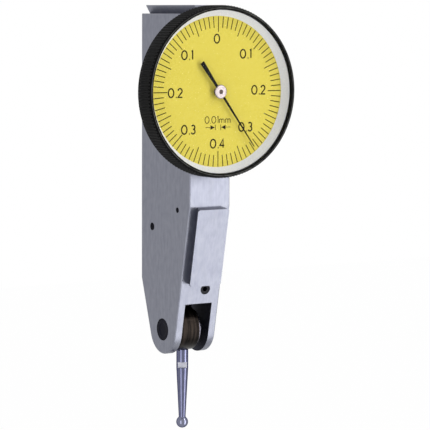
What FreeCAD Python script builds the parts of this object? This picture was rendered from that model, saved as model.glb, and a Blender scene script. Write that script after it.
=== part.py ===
import FreeCAD, Part
import math
import os

# Dial test indicator of the lever type: 0.01 mm graduation, 0.8 mm per turn of the pointer.
# Sizes are millimetres. While modelling, X points right as the dial is read, Y to the back and
# Z up, with zero at the centre of the dial's printed face. On export every piece moves so that
# zero is the middle of the top dovetail's flat top.

# Fits: radial, or face to face
RUNNING = 0.03          # a shaft in its bearing
SEATED = 0.01           # a piece pressed, screwed or cemented in its seat
OVER = 1.0              # how far a cutting tool passes the face it opens

# Body
BODY_WIDTH = 7.8
BODY_FRONT = 2.43
BODY_REAR = 18.0
BODY_TOP = 12.6
FRONT_TAPER_Z = -18.9   # the front face leans back below this height
REAR_TAPER = 8.1        # height over the pivot from which the rear face leans forward
EDGE_BREAK = 0.2
PIVOT_Y = 11.0          # axis of the lever and the stylus
PIVOT_Z = -40.1
EAR_RADIUS = 4.1
EAR_THICKNESS = 1.3
SLOT_PLAY = 1.0         # room over the stylus carrier

# Hollow for the movement and the lever's arm
SIDE_WALL = 1.3
FRONT_WALL = 1.45
REAR_WALL = 1.2
WINDOW_RIM = 3.85       # from the dial case's edge to the window in the front wall behind it
HOLLOW_LIP = 0.5        # how much higher the hollow is than its window
HOLLOW_FLOOR = 2.4      # room under the movement's plates
CHANNEL_FRONT_ROOM = 2.4
CHANNEL_REAR_ROOM = 1.0

# Dovetail rails, 60 degrees
RAIL_WIDTH = 6.0
RAIL_HEIGHT = 1.4
RAIL_ANGLE = 60.0
RAIL_LAND = 0.12
RAIL_SINK = 0.3         # how far a rail's root reaches into the body
FRONT_RAIL_END = 0.15   # left free between the rail and the taper's start, and the bridge screw
FRONT_RAIL_CORNER = 0.45
REAR_RAIL_TOP = 8.0
REAR_RAIL_LENGTH = 36.0

# Screws in the body
FRAME_SCREW_INSET = 1.16
FRAME_SCREW_Z = -19.66
FRAME_SCREW_R = 0.45
PIVOT_SCREW_R = 0.65
SCREW_RECESS = 0.3      # depth of a set screw's end below the face it enters
SCREW_SLOT = 0.18
SCREW_SLOT_DEPTH = 0.25
BRIDGE_SCREW_X = 1.0
BRIDGE_SCREW_RISE = 2.4 # height over the slot
BRIDGE_SCREW_R = 0.9
BRIDGE_SCREW_LENGTH = 2.3
BRIDGE_SCREW_RECESS = 0.12
BRIDGE_SOCKET = 0.8     # across flats

# Dial case, bezel and what turns with it
CASE_THICKNESS = 1.23
CASE_SCREW_X = 1.8
CASE_SCREW_INSET = 1.8
CASE_SCREW_R = 0.45
CASE_SCREW_HEAD_R = 0.85
CASE_SCREW_HEAD = 0.5
CASE_SCREW_LENGTH = 2.5
BEZEL_R = 14.0
BEZEL_LIP = 0.75        # width of the front lip
BEZEL_PROUD = 0.11      # how far the lip stands before the crystal
BEZEL_GAP = 0.24        # between the bezel and the body
BEZEL_SKIRT = 1.06      # wall round the dial case
BEZEL_CHAMFER = 0.28
BEZEL_PLAY = 0.09
KNURL_COUNT = 156
KNURL_DEPTH = 0.17
WIRE_R = 0.24           # snap wire between the case and the bezel
WIRE_INSET = 0.51       # from the bezel's rear
WIRE_OPENING = 24.0     # degrees left open at the wire's ends
CRYSTAL_THICKNESS = 0.55
CONE_FRONT = -1.17      # front rim of the white conical ring
CONE_WIDTH = 0.99
CONE_EDGE = 0.05
DIAL_THICKNESS = 0.3
DIAL_HOLE_R = 0.8

# Pointer and its arbor
POINTER_ANGLE = 143.9   # clockwise from the top, at rest
POINTER_SHORT = 0.96    # from the pointer's tip to the cone
POINTER_TAIL = 6.0
POINTER_ROOT = 0.4
POINTER_TIP = 0.14
TAIL_ROOT = 0.45
TAIL_END = 0.8
POINTER_THICKNESS = 0.12
POINTER_BACK = -0.6
POINTER_EYE_R = 1.0
HUB_R = 1.15
HUB_FRONT = -0.92
HUB_STEM_R = 0.6
HUB_STEM_BACK = -0.3
ARBOR_R = 0.35
ARBOR_PIVOT_R = 0.2
BUSH_R = 0.9
BUSH_PROUD = 0.77       # behind the dial case

# Gears
SECTOR_TEETH = 216      # teeth the sector would have as a full wheel
SECTOR_HALF_TEETH = 3
SECTOR_RIM = 1.5
PINION_TEETH = 16
SECTOR_MODULE = 0.2
CROWN_TEETH = 56
POINTER_TEETH = 12
CROWN_MODULE = 0.15
PRESSURE_ANGLE = 20.0
TOOTH_SHARE = 0.42      # tooth thickness over pitch, the rest is the gap
ADDENDUM = 0.8          # in modules
DEDENDUM = 1.15

# Movement
PLATE_THICKNESS = 0.6
PLATE_SPRING_ROOM = 1.0 # from the hairspring's collet to the plates' front edge
PLATE_STEP = 1.22       # from the front wall to the plates where they reach further forward
PLATE_REAR_ROOM = 0.4
PLATE_OVER_WHEEL = 1.0
PLATE_UNDER_PIVOT = 1.55
PLATE_STEP_Z = -5.0
PILLAR_R = 0.7
PILLAR_INSET = 0.85
PILLAR_MIDDLE_Z = -9.0
PILLAR_LOW_RISE = 2.0
MOVEMENT_SCREW_R = 0.3
MOVEMENT_SCREW_HEAD_R = 0.6
MOVEMENT_SCREW_HEAD = 0.25
MOVEMENT_SCREW_REACH = 1.2
WHEEL_REAR_ROOM = 0.54  # between the crown wheel and the rear wall
STAFF_R = 0.4
STAFF_PIVOT_R = 0.25
PIVOT_SHAKE = 0.1       # end play of a pivot before the wall behind it
PINION_LEFT = 0.3
PINION_RIGHT = 1.3
CROWN_DISC = 0.5
CROWN_TOOTH_LENGTH = 0.6
SECTOR_LEAN = 6.53      # degrees between the sector's centre line and the vertical
SECTOR_LEFT = 0.5
SECTOR_RIGHT = 1.1
SECTOR_HUB_R = 1.3
SECTOR_ARM = 1.8
SECTOR_TAIL = 1.4
SECTOR_TAIL_END = 0.9
SECTOR_STAFF_R = 0.5
SECTOR_PIVOT_R = 0.3
STOP_RADIUS = 12.0
STOP_PIN_R = 0.3
STOP_PIN_TIP = 0.2
COCK_ROOM = 0.25        # between the cock and the wheels beside it
COCK_THICKNESS = 0.8
COCK_LENGTH = 2.9
COCK_LEFT = -0.6
COCK_ARM_BOTTOM = -1.1
COCK_ARM_TOP = 1.5
COCK_FOOT_BOTTOM = 0.2
COCK_TOP = 3.6
COCK_SCREW_INSET = 0.8
COLLET_R = 0.65
COLLET_ROOM = 1.4       # behind the bush
COLLET_LENGTH = 0.8
SPRING_TURNS = 4
SPRING_PITCH = 0.33
SPRING_THICKNESS = 0.05
SPRING_WIDTH = 0.4
STUD_R = 0.25

# Lever
LEVER_TRAVEL = 1.43     # degrees each way
LEVER_TO_SECTOR = 2.0   # the sector turns this much further than the lever
LEVER_LEFT = 1.22
LEVER_THICKNESS = 0.43
LEVER_DISC_R = 3.3
LEVER_ARM = 2.2
LEVER_ARM_TIP = 1.3
LEVER_PIN_R = 0.25
SHAFT_R = 1.6
SHAFT_NECK_R = 1.0
JOURNAL_R = 0.7
BEARING_R = 1.85
BEARING_RING = 0.38
BEARING_WIDTH = 0.75
BALL_COUNT = 7
CAP_THICKNESS = 0.4
CAP_RECESS = 0.06

# Stylus and its carrier
DRUM_R = 3.7
DRUM_PLAY = 0.1         # between the carrier and the left ear
DRUM_RIGHT = 1.2
DRUM_POCKET = 0.6
DRUM_FLAT = 3.55
DRUM_POCKET_R = 2.6
WASHER_THICKNESS = 0.15
WASHER_R = 2.4
NUT_THICKNESS = 0.4
NUT_R = 2.0
STYLUS_R = 1.0
STYLUS_LENGTH = 12.5    # shoulder to the ball's centre
STYLUS_THREAD_R = 0.7
STYLUS_THREAD = 1.6
FLATS_TOP = 2.2
FLATS_HEIGHT = 1.0
FLATS_ACROSS = 1.6
FLATS_TURN = -30.0      # where the thread leaves the flats when it is tight
NECK_R = 0.57
NECK_SINK = 0.04        # how far the taper runs on into the ball
SPIGOT_R = 0.35
SPIGOT_SHORT = 0.1      # from the spigot's end to the ball's centre
BALL_R = 1.0

# Worked out from the sizes above: the dial case and bezel
HALF_WIDTH = BODY_WIDTH / 2
CASE_FRONT = BODY_FRONT - CASE_THICKNESS
CASE_R = BEZEL_R - BEZEL_SKIRT - BEZEL_PLAY
BEZEL_FRONT = CONE_FRONT - CRYSTAL_THICKNESS - BEZEL_PROUD
BEZEL_REAR = BODY_FRONT - BEZEL_GAP
BEZEL_BORE_R = BEZEL_R - BEZEL_LIP
WIRE_Y = BEZEL_REAR - WIRE_INSET
WIRE_TRACK_R = CASE_R + BEZEL_PLAY / 2
CONE_INNER_R = BEZEL_BORE_R - CONE_WIDTH
POINTER_REACH = CONE_INNER_R - POINTER_SHORT
BUSH_BACK = BODY_FRONT + BUSH_PROUD
COLLET_FRONT = BUSH_BACK + COLLET_ROOM
COLLET_BACK = COLLET_FRONT + COLLET_LENGTH

# The gears, from the rear wall forwards and down to the lever
SECTOR_R = SECTOR_TEETH * SECTOR_MODULE / 2
PINION_R = PINION_TEETH * SECTOR_MODULE / 2
PINION_TIP_R = PINION_R + ADDENDUM * SECTOR_MODULE
CROWN_R = CROWN_TEETH * CROWN_MODULE / 2
CROWN_OUTER_R = CROWN_R + CROWN_TOOTH_LENGTH / 2
POINTER_PINION_R = POINTER_TEETH * CROWN_MODULE / 2
POINTER_PINION_TIP_R = POINTER_PINION_R + ADDENDUM * CROWN_MODULE
CROWN_RIGHT = -POINTER_PINION_R - DEDENDUM * CROWN_MODULE
CROWN_LEFT = CROWN_RIGHT - CROWN_DISC
INNER_FRONT = BODY_FRONT + FRONT_WALL
INNER_REAR = BODY_REAR - REAR_WALL
STAFF_Y = INNER_REAR - WHEEL_REAR_ROOM - CROWN_OUTER_R
CROWN_FACE_FRONT = STAFF_Y - CROWN_OUTER_R
SECTOR_Y = STAFF_Y + (SECTOR_R + PINION_R) * math.sin(math.radians(SECTOR_LEAN))
SECTOR_Z = -(SECTOR_R + PINION_R) * math.cos(math.radians(SECTOR_LEAN))
LEVER_SPAN = math.hypot(SECTOR_Y - PIVOT_Y, SECTOR_Z - PIVOT_Z)
LEVER_LEAN = math.degrees(math.atan2(SECTOR_Y - PIVOT_Y, SECTOR_Z - PIVOT_Z))
LEVER_PIN_REACH = LEVER_SPAN * LEVER_TO_SECTOR / (1 + LEVER_TO_SECTOR)
SECTOR_PIN_REACH = LEVER_SPAN - LEVER_PIN_REACH

# The movement's frame
HOLLOW_HALF = HALF_WIDTH - SIDE_WALL
PLATE_INNER = HOLLOW_HALF - PLATE_THICKNESS
PLATE_FRONT = COLLET_BACK + PLATE_SPRING_ROOM
PLATE_STEP_FRONT = INNER_FRONT + PLATE_STEP
PLATE_REAR = INNER_REAR - PLATE_REAR_ROOM
PLATE_TOP = CROWN_OUTER_R + PLATE_OVER_WHEEL
PLATE_BOTTOM = SECTOR_Z - PLATE_UNDER_PIVOT
PILLARS = [(PLATE_REAR - PILLAR_INSET, PLATE_TOP - PILLAR_INSET),
           (PLATE_FRONT + PILLAR_INSET, PLATE_TOP - PILLAR_INSET),
           (PLATE_FRONT + PILLAR_INSET / 2, PILLAR_MIDDLE_Z),
           (PLATE_FRONT + PILLAR_INSET / 2, PLATE_BOTTOM + PILLAR_LOW_RISE)]
FRAME_SCREW_Y = PLATE_STEP_FRONT + FRAME_SCREW_INSET
COCK_BACK = STAFF_Y - PINION_TIP_R - COCK_ROOM
COCK_FRONT = COCK_BACK - COCK_LENGTH
COCK_FOOT_LEFT = POINTER_PINION_TIP_R + COCK_ROOM
COCK_SCREWS = [(COCK_FRONT + COCK_SCREW_INSET, COCK_TOP - COCK_SCREW_INSET),
               (COCK_BACK - COCK_SCREW_INSET, COCK_TOP - COCK_SCREW_INSET)]
SPRING_START_R = COLLET_R + SPRING_THICKNESS
SPRING_END_R = SPRING_START_R + SPRING_TURNS * SPRING_PITCH
STUD_Z = SPRING_END_R + SPRING_THICKNESS / 2 + STUD_R + SEATED

# The hollow, the fork and what turns in it
WINDOW_HALF = CASE_R - WINDOW_RIM
HOLLOW_TOP = WINDOW_HALF + HOLLOW_LIP
HOLLOW_BOTTOM = PLATE_BOTTOM - HOLLOW_FLOOR
CHANNEL_FRONT = PIVOT_Y - CHANNEL_FRONT_ROOM
CHANNEL_REAR = SECTOR_Y + CHANNEL_REAR_ROOM
SLOT_HALF = HALF_WIDTH - EAR_THICKNESS
SLOT_TOP = PIVOT_Z + DRUM_R + SLOT_PLAY
REAR_TAPER_Z = PIVOT_Z + REAR_TAPER
BRIDGE_SCREW_Z = SLOT_TOP + BRIDGE_SCREW_RISE
FRONT_RAIL_TOP = FRONT_TAPER_Z - FRONT_RAIL_END
FRONT_RAIL_BOTTOM = BRIDGE_SCREW_Z + BRIDGE_SCREW_R + FRONT_RAIL_END
DRUM_LEFT = DRUM_PLAY - SLOT_HALF
SHAFT_SHOULDER = DRUM_LEFT + DRUM_POCKET
BALL_TRACK_R = (BEARING_R - BEARING_RING + JOURNAL_R) / 2
BEARING_BALL_R = (BEARING_R - BEARING_RING - JOURNAL_R) / 2 - RUNNING
NECK_END = STYLUS_LENGTH - math.sqrt(BALL_R ** 2 - NECK_R ** 2) + NECK_SINK
SPIGOT_END = STYLUS_LENGTH - SPIGOT_SHORT
ROW_ZERO = FreeCAD.Vector(0, (BODY_FRONT + BODY_REAR) / 2, BODY_TOP + RAIL_HEIGHT)

X_AXIS = FreeCAD.Vector(1, 0, 0)
Y_AXIS = FreeCAD.Vector(0, 1, 0)
Z_AXIS = FreeCAD.Vector(0, 0, 1)


# Basic shapes

def box(x0, x1, y0, y1, z0, z1):
    return Part.makeBox(x1 - x0, y1 - y0, z1 - z0, FreeCAD.Vector(x0, y0, z0))


def rod_x(y, z, radius, x0, x1):
    return Part.makeCylinder(radius, x1 - x0, FreeCAD.Vector(x0, y, z), X_AXIS)


def rod_y(x, z, radius, y0, y1):
    return Part.makeCylinder(radius, y1 - y0, FreeCAD.Vector(x, y0, z), Y_AXIS)


def rod_z(x, y, radius, z0, z1):
    return Part.makeCylinder(radius, z1 - z0, FreeCAD.Vector(x, y, z0), Z_AXIS)


def prism_x(outline, x0, x1):
    """Solid between x0 and x1 over an outline of (y, z) points."""
    points = [FreeCAD.Vector(x0, y, z) for y, z in outline]
    face = Part.Face(Part.makePolygon(points + points[:1]))
    return face.extrude(FreeCAD.Vector(x1 - x0, 0, 0))


def prism_y(outline, y0, y1):
    """Solid between y0 and y1 over an outline of (x, z) points."""
    points = [FreeCAD.Vector(x, y0, z) for x, z in outline]
    face = Part.Face(Part.makePolygon(points + points[:1]))
    return face.extrude(FreeCAD.Vector(0, y1 - y0, 0))


def turned_y(outline):
    """Solid of revolution about the dial's axis from (radius, y) points."""
    points = [FreeCAD.Vector(r, y, 0) for r, y in outline]
    face = Part.Face(Part.makePolygon(points + points[:1]))
    return face.revolve(FreeCAD.Vector(0, 0, 0), Y_AXIS, 360)


def turned_z(outline, x, y, z):
    """Solid of revolution about a vertical axis from (radius, height) points below z."""
    points = [FreeCAD.Vector(x + r, y, z - down) for r, down in outline]
    face = Part.Face(Part.makePolygon(points + points[:1]))
    return face.revolve(FreeCAD.Vector(x, y, z), Z_AXIS, 360)


def joined(shapes):
    return shapes[0].fuse(shapes[1:]).removeSplitter()


def export(node, *solids):
    """Write one node; identical pieces go in as separate solids."""
    shape = solids[0] if len(solids) == 1 else Part.makeCompound(list(solids))
    shape = shape.copy()
    shape.translate(ROW_ZERO * -1)
    shape.exportStep("parts/" + node + ".step")


def along(y, z, lean, distance, side=0.0):
    """Point at a distance up a line that leans back from the vertical, and to its rear side."""
    angle = math.radians(lean)
    return (y + distance * math.sin(angle) + side * math.cos(angle),
            z + distance * math.cos(angle) - side * math.sin(angle))


# Body

def ear_touch(corner_y, corner_z, side):
    """Where the line from a corner touches the ear's round end."""
    across = corner_y - PIVOT_Y
    up = corner_z - PIVOT_Z
    angle = math.atan2(up, across) + side * math.acos(EAR_RADIUS / math.hypot(across, up))
    return PIVOT_Y + EAR_RADIUS * math.cos(angle), PIVOT_Z + EAR_RADIUS * math.sin(angle)


FRONT_TOUCH = ear_touch(BODY_FRONT, FRONT_TAPER_Z, 1)
REAR_TOUCH = ear_touch(BODY_REAR, REAR_TAPER_Z, -1)
FRONT_SLOPE = (FRONT_TOUCH[0] - BODY_FRONT) / (FRONT_TAPER_Z - FRONT_TOUCH[1])
FRONT_LEAN = math.atan(FRONT_SLOPE)
FACE_DOWN = FreeCAD.Vector(0, math.sin(FRONT_LEAN), -math.cos(FRONT_LEAN))
FACE_OUT = FreeCAD.Vector(0, -math.cos(FRONT_LEAN), -math.sin(FRONT_LEAN))
FRONT_RAIL_LENGTH = (FRONT_RAIL_TOP - FRONT_RAIL_BOTTOM) / math.cos(FRONT_LEAN)


def front_face_y(z):
    """Depth of the leaning front face at a height below its start."""
    return BODY_FRONT + (FRONT_TAPER_Z - z) * FRONT_SLOPE


def body_blank():
    def at(point):
        return FreeCAD.Vector(-HALF_WIDTH, point[0], point[1])

    corners = [REAR_TOUCH, (BODY_REAR, REAR_TAPER_Z), (BODY_REAR, BODY_TOP),
               (BODY_FRONT, BODY_TOP), (BODY_FRONT, FRONT_TAPER_Z), FRONT_TOUCH]
    edges = [Part.LineSegment(at(a), at(b)).toShape() for a, b in zip(corners, corners[1:])]
    lowest = (PIVOT_Y, PIVOT_Z - EAR_RADIUS)
    edges.append(Part.Arc(at(FRONT_TOUCH), at(lowest), at(REAR_TOUCH)).toShape())
    blank = Part.Face(Part.Wire(edges)).extrude(FreeCAD.Vector(BODY_WIDTH, 0, 0))
    rims = [edge for edge in blank.Edges
            if all(abs(abs(v.X) - HALF_WIDTH) < 1e-6 for v in edge.Vertexes)
            and edge.Vertexes[0].X * edge.Vertexes[-1].X > 0]
    return blank.makeFillet(EDGE_BREAK, rims)


def rail(length):
    """Dovetail bar that runs along Y from zero and stands up in Z."""
    slant = (RAIL_HEIGHT - RAIL_LAND) / math.tan(math.radians(RAIL_ANGLE))
    edge = RAIL_WIDTH / 2
    outline = [(-edge, RAIL_HEIGHT), (edge, RAIL_HEIGHT), (edge, RAIL_HEIGHT - RAIL_LAND),
               (edge - slant, 0), (edge - slant, -RAIL_SINK), (slant - edge, -RAIL_SINK),
               (slant - edge, 0), (-edge, RAIL_HEIGHT - RAIL_LAND)]
    return prism_y(outline, 0, length)


def placed(shape, x_axis, y_axis, z_axis, origin):
    """Carry a shape's own axes to the given ones and its zero to the origin."""
    rows = [[x_axis[i], y_axis[i], z_axis[i], origin[i]] for i in range(3)]
    moved = shape.copy()
    moved.Placement = FreeCAD.Placement(FreeCAD.Matrix(*rows[0], *rows[1], *rows[2], 0, 0, 0, 1))
    return moved


def front_rail():
    corner = FRONT_RAIL_CORNER
    bar = rail(FRONT_RAIL_LENGTH)
    limits = box(-RAIL_WIDTH / 2, RAIL_WIDTH / 2, 0, FRONT_RAIL_LENGTH, -RAIL_SINK, RAIL_HEIGHT)
    upright = [edge for edge in limits.Edges
               if abs(edge.Vertexes[0].Z - edge.Vertexes[1].Z) > RAIL_SINK]
    bar = bar.common(limits.makeFillet(corner, upright))
    start = FreeCAD.Vector(0, front_face_y(FRONT_RAIL_TOP), FRONT_RAIL_TOP)
    return placed(bar, X_AXIS * -1, FACE_DOWN, FACE_OUT, start)


def rear_rail():
    start = FreeCAD.Vector(0, BODY_REAR, REAR_RAIL_TOP)
    return placed(rail(REAR_RAIL_LENGTH), X_AXIS, Z_AXIS * -1, Y_AXIS, start)


def top_rail():
    start = FreeCAD.Vector(0, BODY_FRONT, BODY_TOP)
    return placed(rail(BODY_REAR - BODY_FRONT), X_AXIS, Y_AXIS, Z_AXIS, start)


def hollow():
    """The space for the movement, open to the slot through a channel for the lever's arm."""
    channel_end = SLOT_TOP - OVER
    outline = [(INNER_FRONT, HOLLOW_TOP), (INNER_REAR, HOLLOW_TOP), (INNER_REAR, HOLLOW_BOTTOM),
               (CHANNEL_REAR, HOLLOW_BOTTOM), (CHANNEL_REAR, channel_end),
               (CHANNEL_FRONT, channel_end), (CHANNEL_FRONT, HOLLOW_BOTTOM),
               (front_face_y(HOLLOW_BOTTOM) + FRONT_WALL, HOLLOW_BOTTOM),
               (INNER_FRONT, FRONT_TAPER_Z)]
    space = prism_x(outline, -HOLLOW_HALF, HOLLOW_HALF)
    window = box(-HOLLOW_HALF, HOLLOW_HALF, BODY_FRONT - OVER, INNER_FRONT + OVER,
                 -WINDOW_HALF, WINDOW_HALF)
    return space.fuse(window)


def bridge_rod(radius, top, bottom):
    """Rod on the bridge screw's axis, between two depths below the leaning face."""
    face = FreeCAD.Vector(BRIDGE_SCREW_X, front_face_y(BRIDGE_SCREW_Z), BRIDGE_SCREW_Z)
    return Part.makeCylinder(radius, bottom - top, face - FACE_OUT * top, FACE_OUT * -1)


def case_screw_places():
    height = CASE_R - CASE_SCREW_INSET
    return [(x, z) for x in (-CASE_SCREW_X, CASE_SCREW_X) for z in (height, -height)]


def case_screw_end(z):
    """How deep a case screw reaches: short where the wall behind the case is thin."""
    deepest = CASE_FRONT + CASE_SCREW_LENGTH
    return min(deepest, INNER_FRONT) if HOLLOW_BOTTOM < z < HOLLOW_TOP else deepest


def housing():
    body = joined([body_blank(), top_rail(), front_rail(), rear_rail()])
    slot = box(-SLOT_HALF, SLOT_HALF, BODY_FRONT - OVER, BODY_REAR + OVER,
               PIVOT_Z - EAR_RADIUS - OVER, SLOT_TOP)
    cuts = [hollow(), slot]
    cuts.append(rod_x(PIVOT_Y, PIVOT_Z, BEARING_R + SEATED, -HALF_WIDTH - OVER, HALF_WIDTH + OVER))
    cuts.append(rod_x(FRAME_SCREW_Y, FRAME_SCREW_Z, FRAME_SCREW_R + SEATED,
                      -HALF_WIDTH - OVER, -HOLLOW_HALF + SEATED))
    cuts.append(rod_x(SECTOR_Y, SECTOR_Z, PIVOT_SCREW_R + SEATED,
                      -HALF_WIDTH - OVER, -HOLLOW_HALF + SEATED))
    cuts.append(bridge_rod(BRIDGE_SCREW_R + SEATED, -OVER, BRIDGE_SCREW_LENGTH + BRIDGE_SCREW_RECESS))
    for x, z in case_screw_places():
        cuts.append(rod_y(x, z, CASE_SCREW_R + SEATED, BODY_FRONT - OVER, case_screw_end(z)))
    return body.cut(cuts)


def slotted_set_screw(y, z, radius, x_end):
    """Headless screw in the left wall with a screwdriver slot in its outer end."""
    x_face = -HALF_WIDTH + SCREW_RECESS
    screw = rod_x(y, z, radius, x_face, x_end)
    slot = box(x_face - OVER, x_face + SCREW_SLOT_DEPTH, y - SCREW_SLOT / 2, y + SCREW_SLOT / 2,
               z - radius, z + radius)
    return screw.cut(slot)


def bridge_screw():
    """Black set screw with a hexagon socket, square to the leaning front face."""
    screw = bridge_rod(BRIDGE_SCREW_R, BRIDGE_SCREW_RECESS, BRIDGE_SCREW_LENGTH + BRIDGE_SCREW_RECESS)
    corner = BRIDGE_SOCKET / 2 / math.cos(math.radians(30))
    hexagon = [(corner * math.cos(math.radians(60 * k)), corner * math.sin(math.radians(60 * k)))
               for k in range(6)]
    points = [FreeCAD.Vector(x, y, 0) for x, y in hexagon]
    key = Part.Face(Part.makePolygon(points + points[:1])).extrude(Z_AXIS * (BRIDGE_SOCKET + OVER))
    face = FreeCAD.Vector(BRIDGE_SCREW_X, front_face_y(BRIDGE_SCREW_Z), BRIDGE_SCREW_Z)
    floor = face - FACE_OUT * (BRIDGE_SCREW_RECESS + BRIDGE_SOCKET)
    return screw.cut(placed(key, X_AXIS * -1, FACE_DOWN, FACE_OUT, floor))


# Dial case, bezel and what turns with it

def wire_groove(r_inner, r_outer):
    """Square groove round the snap wire."""
    half = WIRE_R + RUNNING
    return turned_y([(r_inner, WIRE_Y - half), (r_outer, WIRE_Y - half),
                     (r_outer, WIRE_Y + half), (r_inner, WIRE_Y + half)])


def dial_case():
    case = rod_y(0, 0, CASE_R, CASE_FRONT, BODY_FRONT)
    cuts = [wire_groove(WIRE_TRACK_R - WIRE_R - RUNNING, CASE_R + OVER),
            rod_y(0, 0, BUSH_R + SEATED, CASE_FRONT - OVER, BODY_FRONT + OVER),
            rod_y(0, STUD_Z, STUD_R + SEATED, CASE_FRONT - OVER, BODY_FRONT + OVER)]
    for x, z in case_screw_places():
        cuts.append(rod_y(x, z, CASE_SCREW_R + SEATED, CASE_FRONT - OVER, BODY_FRONT + OVER))
        cuts.append(rod_y(x, z, CASE_SCREW_HEAD_R + SEATED, CASE_FRONT - OVER,
                          CASE_FRONT + CASE_SCREW_HEAD))
    return case.cut(cuts)


def case_screw(x, z):
    head = rod_y(x, z, CASE_SCREW_HEAD_R, CASE_FRONT, CASE_FRONT + CASE_SCREW_HEAD)
    shank = rod_y(x, z, CASE_SCREW_R, CASE_FRONT, case_screw_end(z))
    slot = box(x - CASE_SCREW_HEAD_R, x + CASE_SCREW_HEAD_R, CASE_FRONT - OVER,
               CASE_FRONT + SCREW_SLOT_DEPTH, z - SCREW_SLOT / 2, z + SCREW_SLOT / 2)
    return head.fuse(shank).cut(slot)


def bezel_wire():
    """Open spring wire that snaps the bezel to the case and lets it turn."""
    centre = FreeCAD.Vector(WIRE_TRACK_R, WIRE_Y, 0)
    section = Part.Face(Part.Wire(Part.makeCircle(WIRE_R, centre, Z_AXIS)))
    ring = section.revolve(FreeCAD.Vector(0, 0, 0), Y_AXIS, 360 - WIRE_OPENING)
    return ring


def bezel():
    """Knurled ring: the crystal and dial drop in from the front, the case from the rear."""
    skirt_r = CASE_R + BEZEL_PLAY
    chamfer = BEZEL_CHAMFER
    ring = turned_y([(BEZEL_BORE_R, BEZEL_FRONT + chamfer / 2), (BEZEL_BORE_R + chamfer / 2, BEZEL_FRONT),
                     (BEZEL_R - chamfer, BEZEL_FRONT), (BEZEL_R, BEZEL_FRONT + chamfer),
                     (BEZEL_R, BEZEL_REAR - chamfer / 2), (BEZEL_R - chamfer / 2, BEZEL_REAR),
                     (skirt_r, BEZEL_REAR), (skirt_r, DIAL_THICKNESS), (BEZEL_BORE_R, DIAL_THICKNESS)])
    ring = ring.cut(wire_groove(skirt_r - OVER, WIRE_TRACK_R + WIRE_R + RUNNING))
    step = math.pi / KNURL_COUNT
    star = []
    for k in range(2 * KNURL_COUNT):
        radius = BEZEL_R - KNURL_DEPTH * (k % 2)
        star.append((radius * math.sin(k * step), radius * math.cos(k * step)))
    return ring.common(prism_y(star, BEZEL_FRONT, BEZEL_REAR))


def crystal():
    return rod_y(0, 0, BEZEL_BORE_R - SEATED, CONE_FRONT - CRYSTAL_THICKNESS, CONE_FRONT)


def reflector_ring():
    """White cone between the crystal and the dial."""
    outer = BEZEL_BORE_R - SEATED
    return turned_y([(CONE_INNER_R, 0), (outer, 0), (outer, CONE_FRONT),
                     (outer - CONE_EDGE, CONE_FRONT), (CONE_INNER_R, -CONE_EDGE)])


def dial_plate():
    disc = rod_y(0, 0, BEZEL_BORE_R - SEATED, 0, DIAL_THICKNESS)
    return disc.cut(rod_y(0, 0, DIAL_HOLE_R, -OVER, DIAL_THICKNESS + OVER))


# Pointer and its arbor

def pointer():
    front = POINTER_BACK - POINTER_THICKNESS
    needle = prism_y([(-POINTER_ROOT / 2, 0), (-POINTER_TIP / 2, POINTER_REACH - POINTER_TIP),
                      (0, POINTER_REACH), (POINTER_TIP / 2, POINTER_REACH - POINTER_TIP),
                      (POINTER_ROOT / 2, 0)], front, POINTER_BACK)
    tail = prism_y([(-TAIL_ROOT / 2, 0), (TAIL_ROOT / 2, 0), (TAIL_END / 2, -POINTER_TAIL),
                    (-TAIL_END / 2, -POINTER_TAIL)], front, POINTER_BACK)
    eye = rod_y(0, 0, POINTER_EYE_R, front, POINTER_BACK)
    hole = rod_y(0, 0, HUB_STEM_R + SEATED, front - OVER, POINTER_BACK + OVER)
    blade = joined([eye, needle, tail]).cut(hole)
    blade.rotate(FreeCAD.Vector(0, 0, 0), Y_AXIS, POINTER_ANGLE)
    return blade


def pointer_hub():
    flange = rod_y(0, 0, HUB_R, HUB_FRONT, POINTER_BACK - POINTER_THICKNESS)
    stem = rod_y(0, 0, HUB_STEM_R, HUB_FRONT, HUB_STEM_BACK)
    return flange.fuse(stem).removeSplitter().cut(
        rod_y(0, 0, ARBOR_R + SEATED, HUB_FRONT - OVER, HUB_STEM_BACK + OVER))


def pointer_arbor():
    cock_front = COCK_BACK - COCK_THICKNESS
    shaft = rod_y(0, 0, ARBOR_R, HUB_FRONT, cock_front - PIVOT_SHAKE)
    return shaft.fuse(rod_y(0, 0, ARBOR_PIVOT_R, HUB_FRONT, COCK_BACK - PIVOT_SHAKE)).removeSplitter()


def pointer_bush():
    bush = rod_y(0, 0, BUSH_R, CASE_FRONT, BUSH_BACK)
    return bush.cut(rod_y(0, 0, ARBOR_R + RUNNING, CASE_FRONT - OVER, BUSH_BACK + OVER))


def collet():
    ring = rod_y(0, 0, COLLET_R, COLLET_FRONT, COLLET_BACK)
    return ring.cut(rod_y(0, 0, ARBOR_R + SEATED, COLLET_FRONT - OVER, COLLET_BACK + OVER))


def spiral_edge(offset, y):
    """One long edge of the hairspring: half circles about two centres half a pitch apart."""
    def at(across, up):
        return FreeCAD.Vector(across, y, up)

    step = SPRING_PITCH / 2
    edges = []
    for k in range(2 * SPRING_TURNS):
        radius = SPRING_START_R + k * step + offset
        if k % 2 == 0:
            ends = (at(0, radius), at(radius, 0), at(0, -radius))
        else:
            ends = (at(0, step - radius), at(-radius, step), at(0, step + radius))
        edges.append(Part.Arc(*ends).toShape())
    return edges


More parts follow.
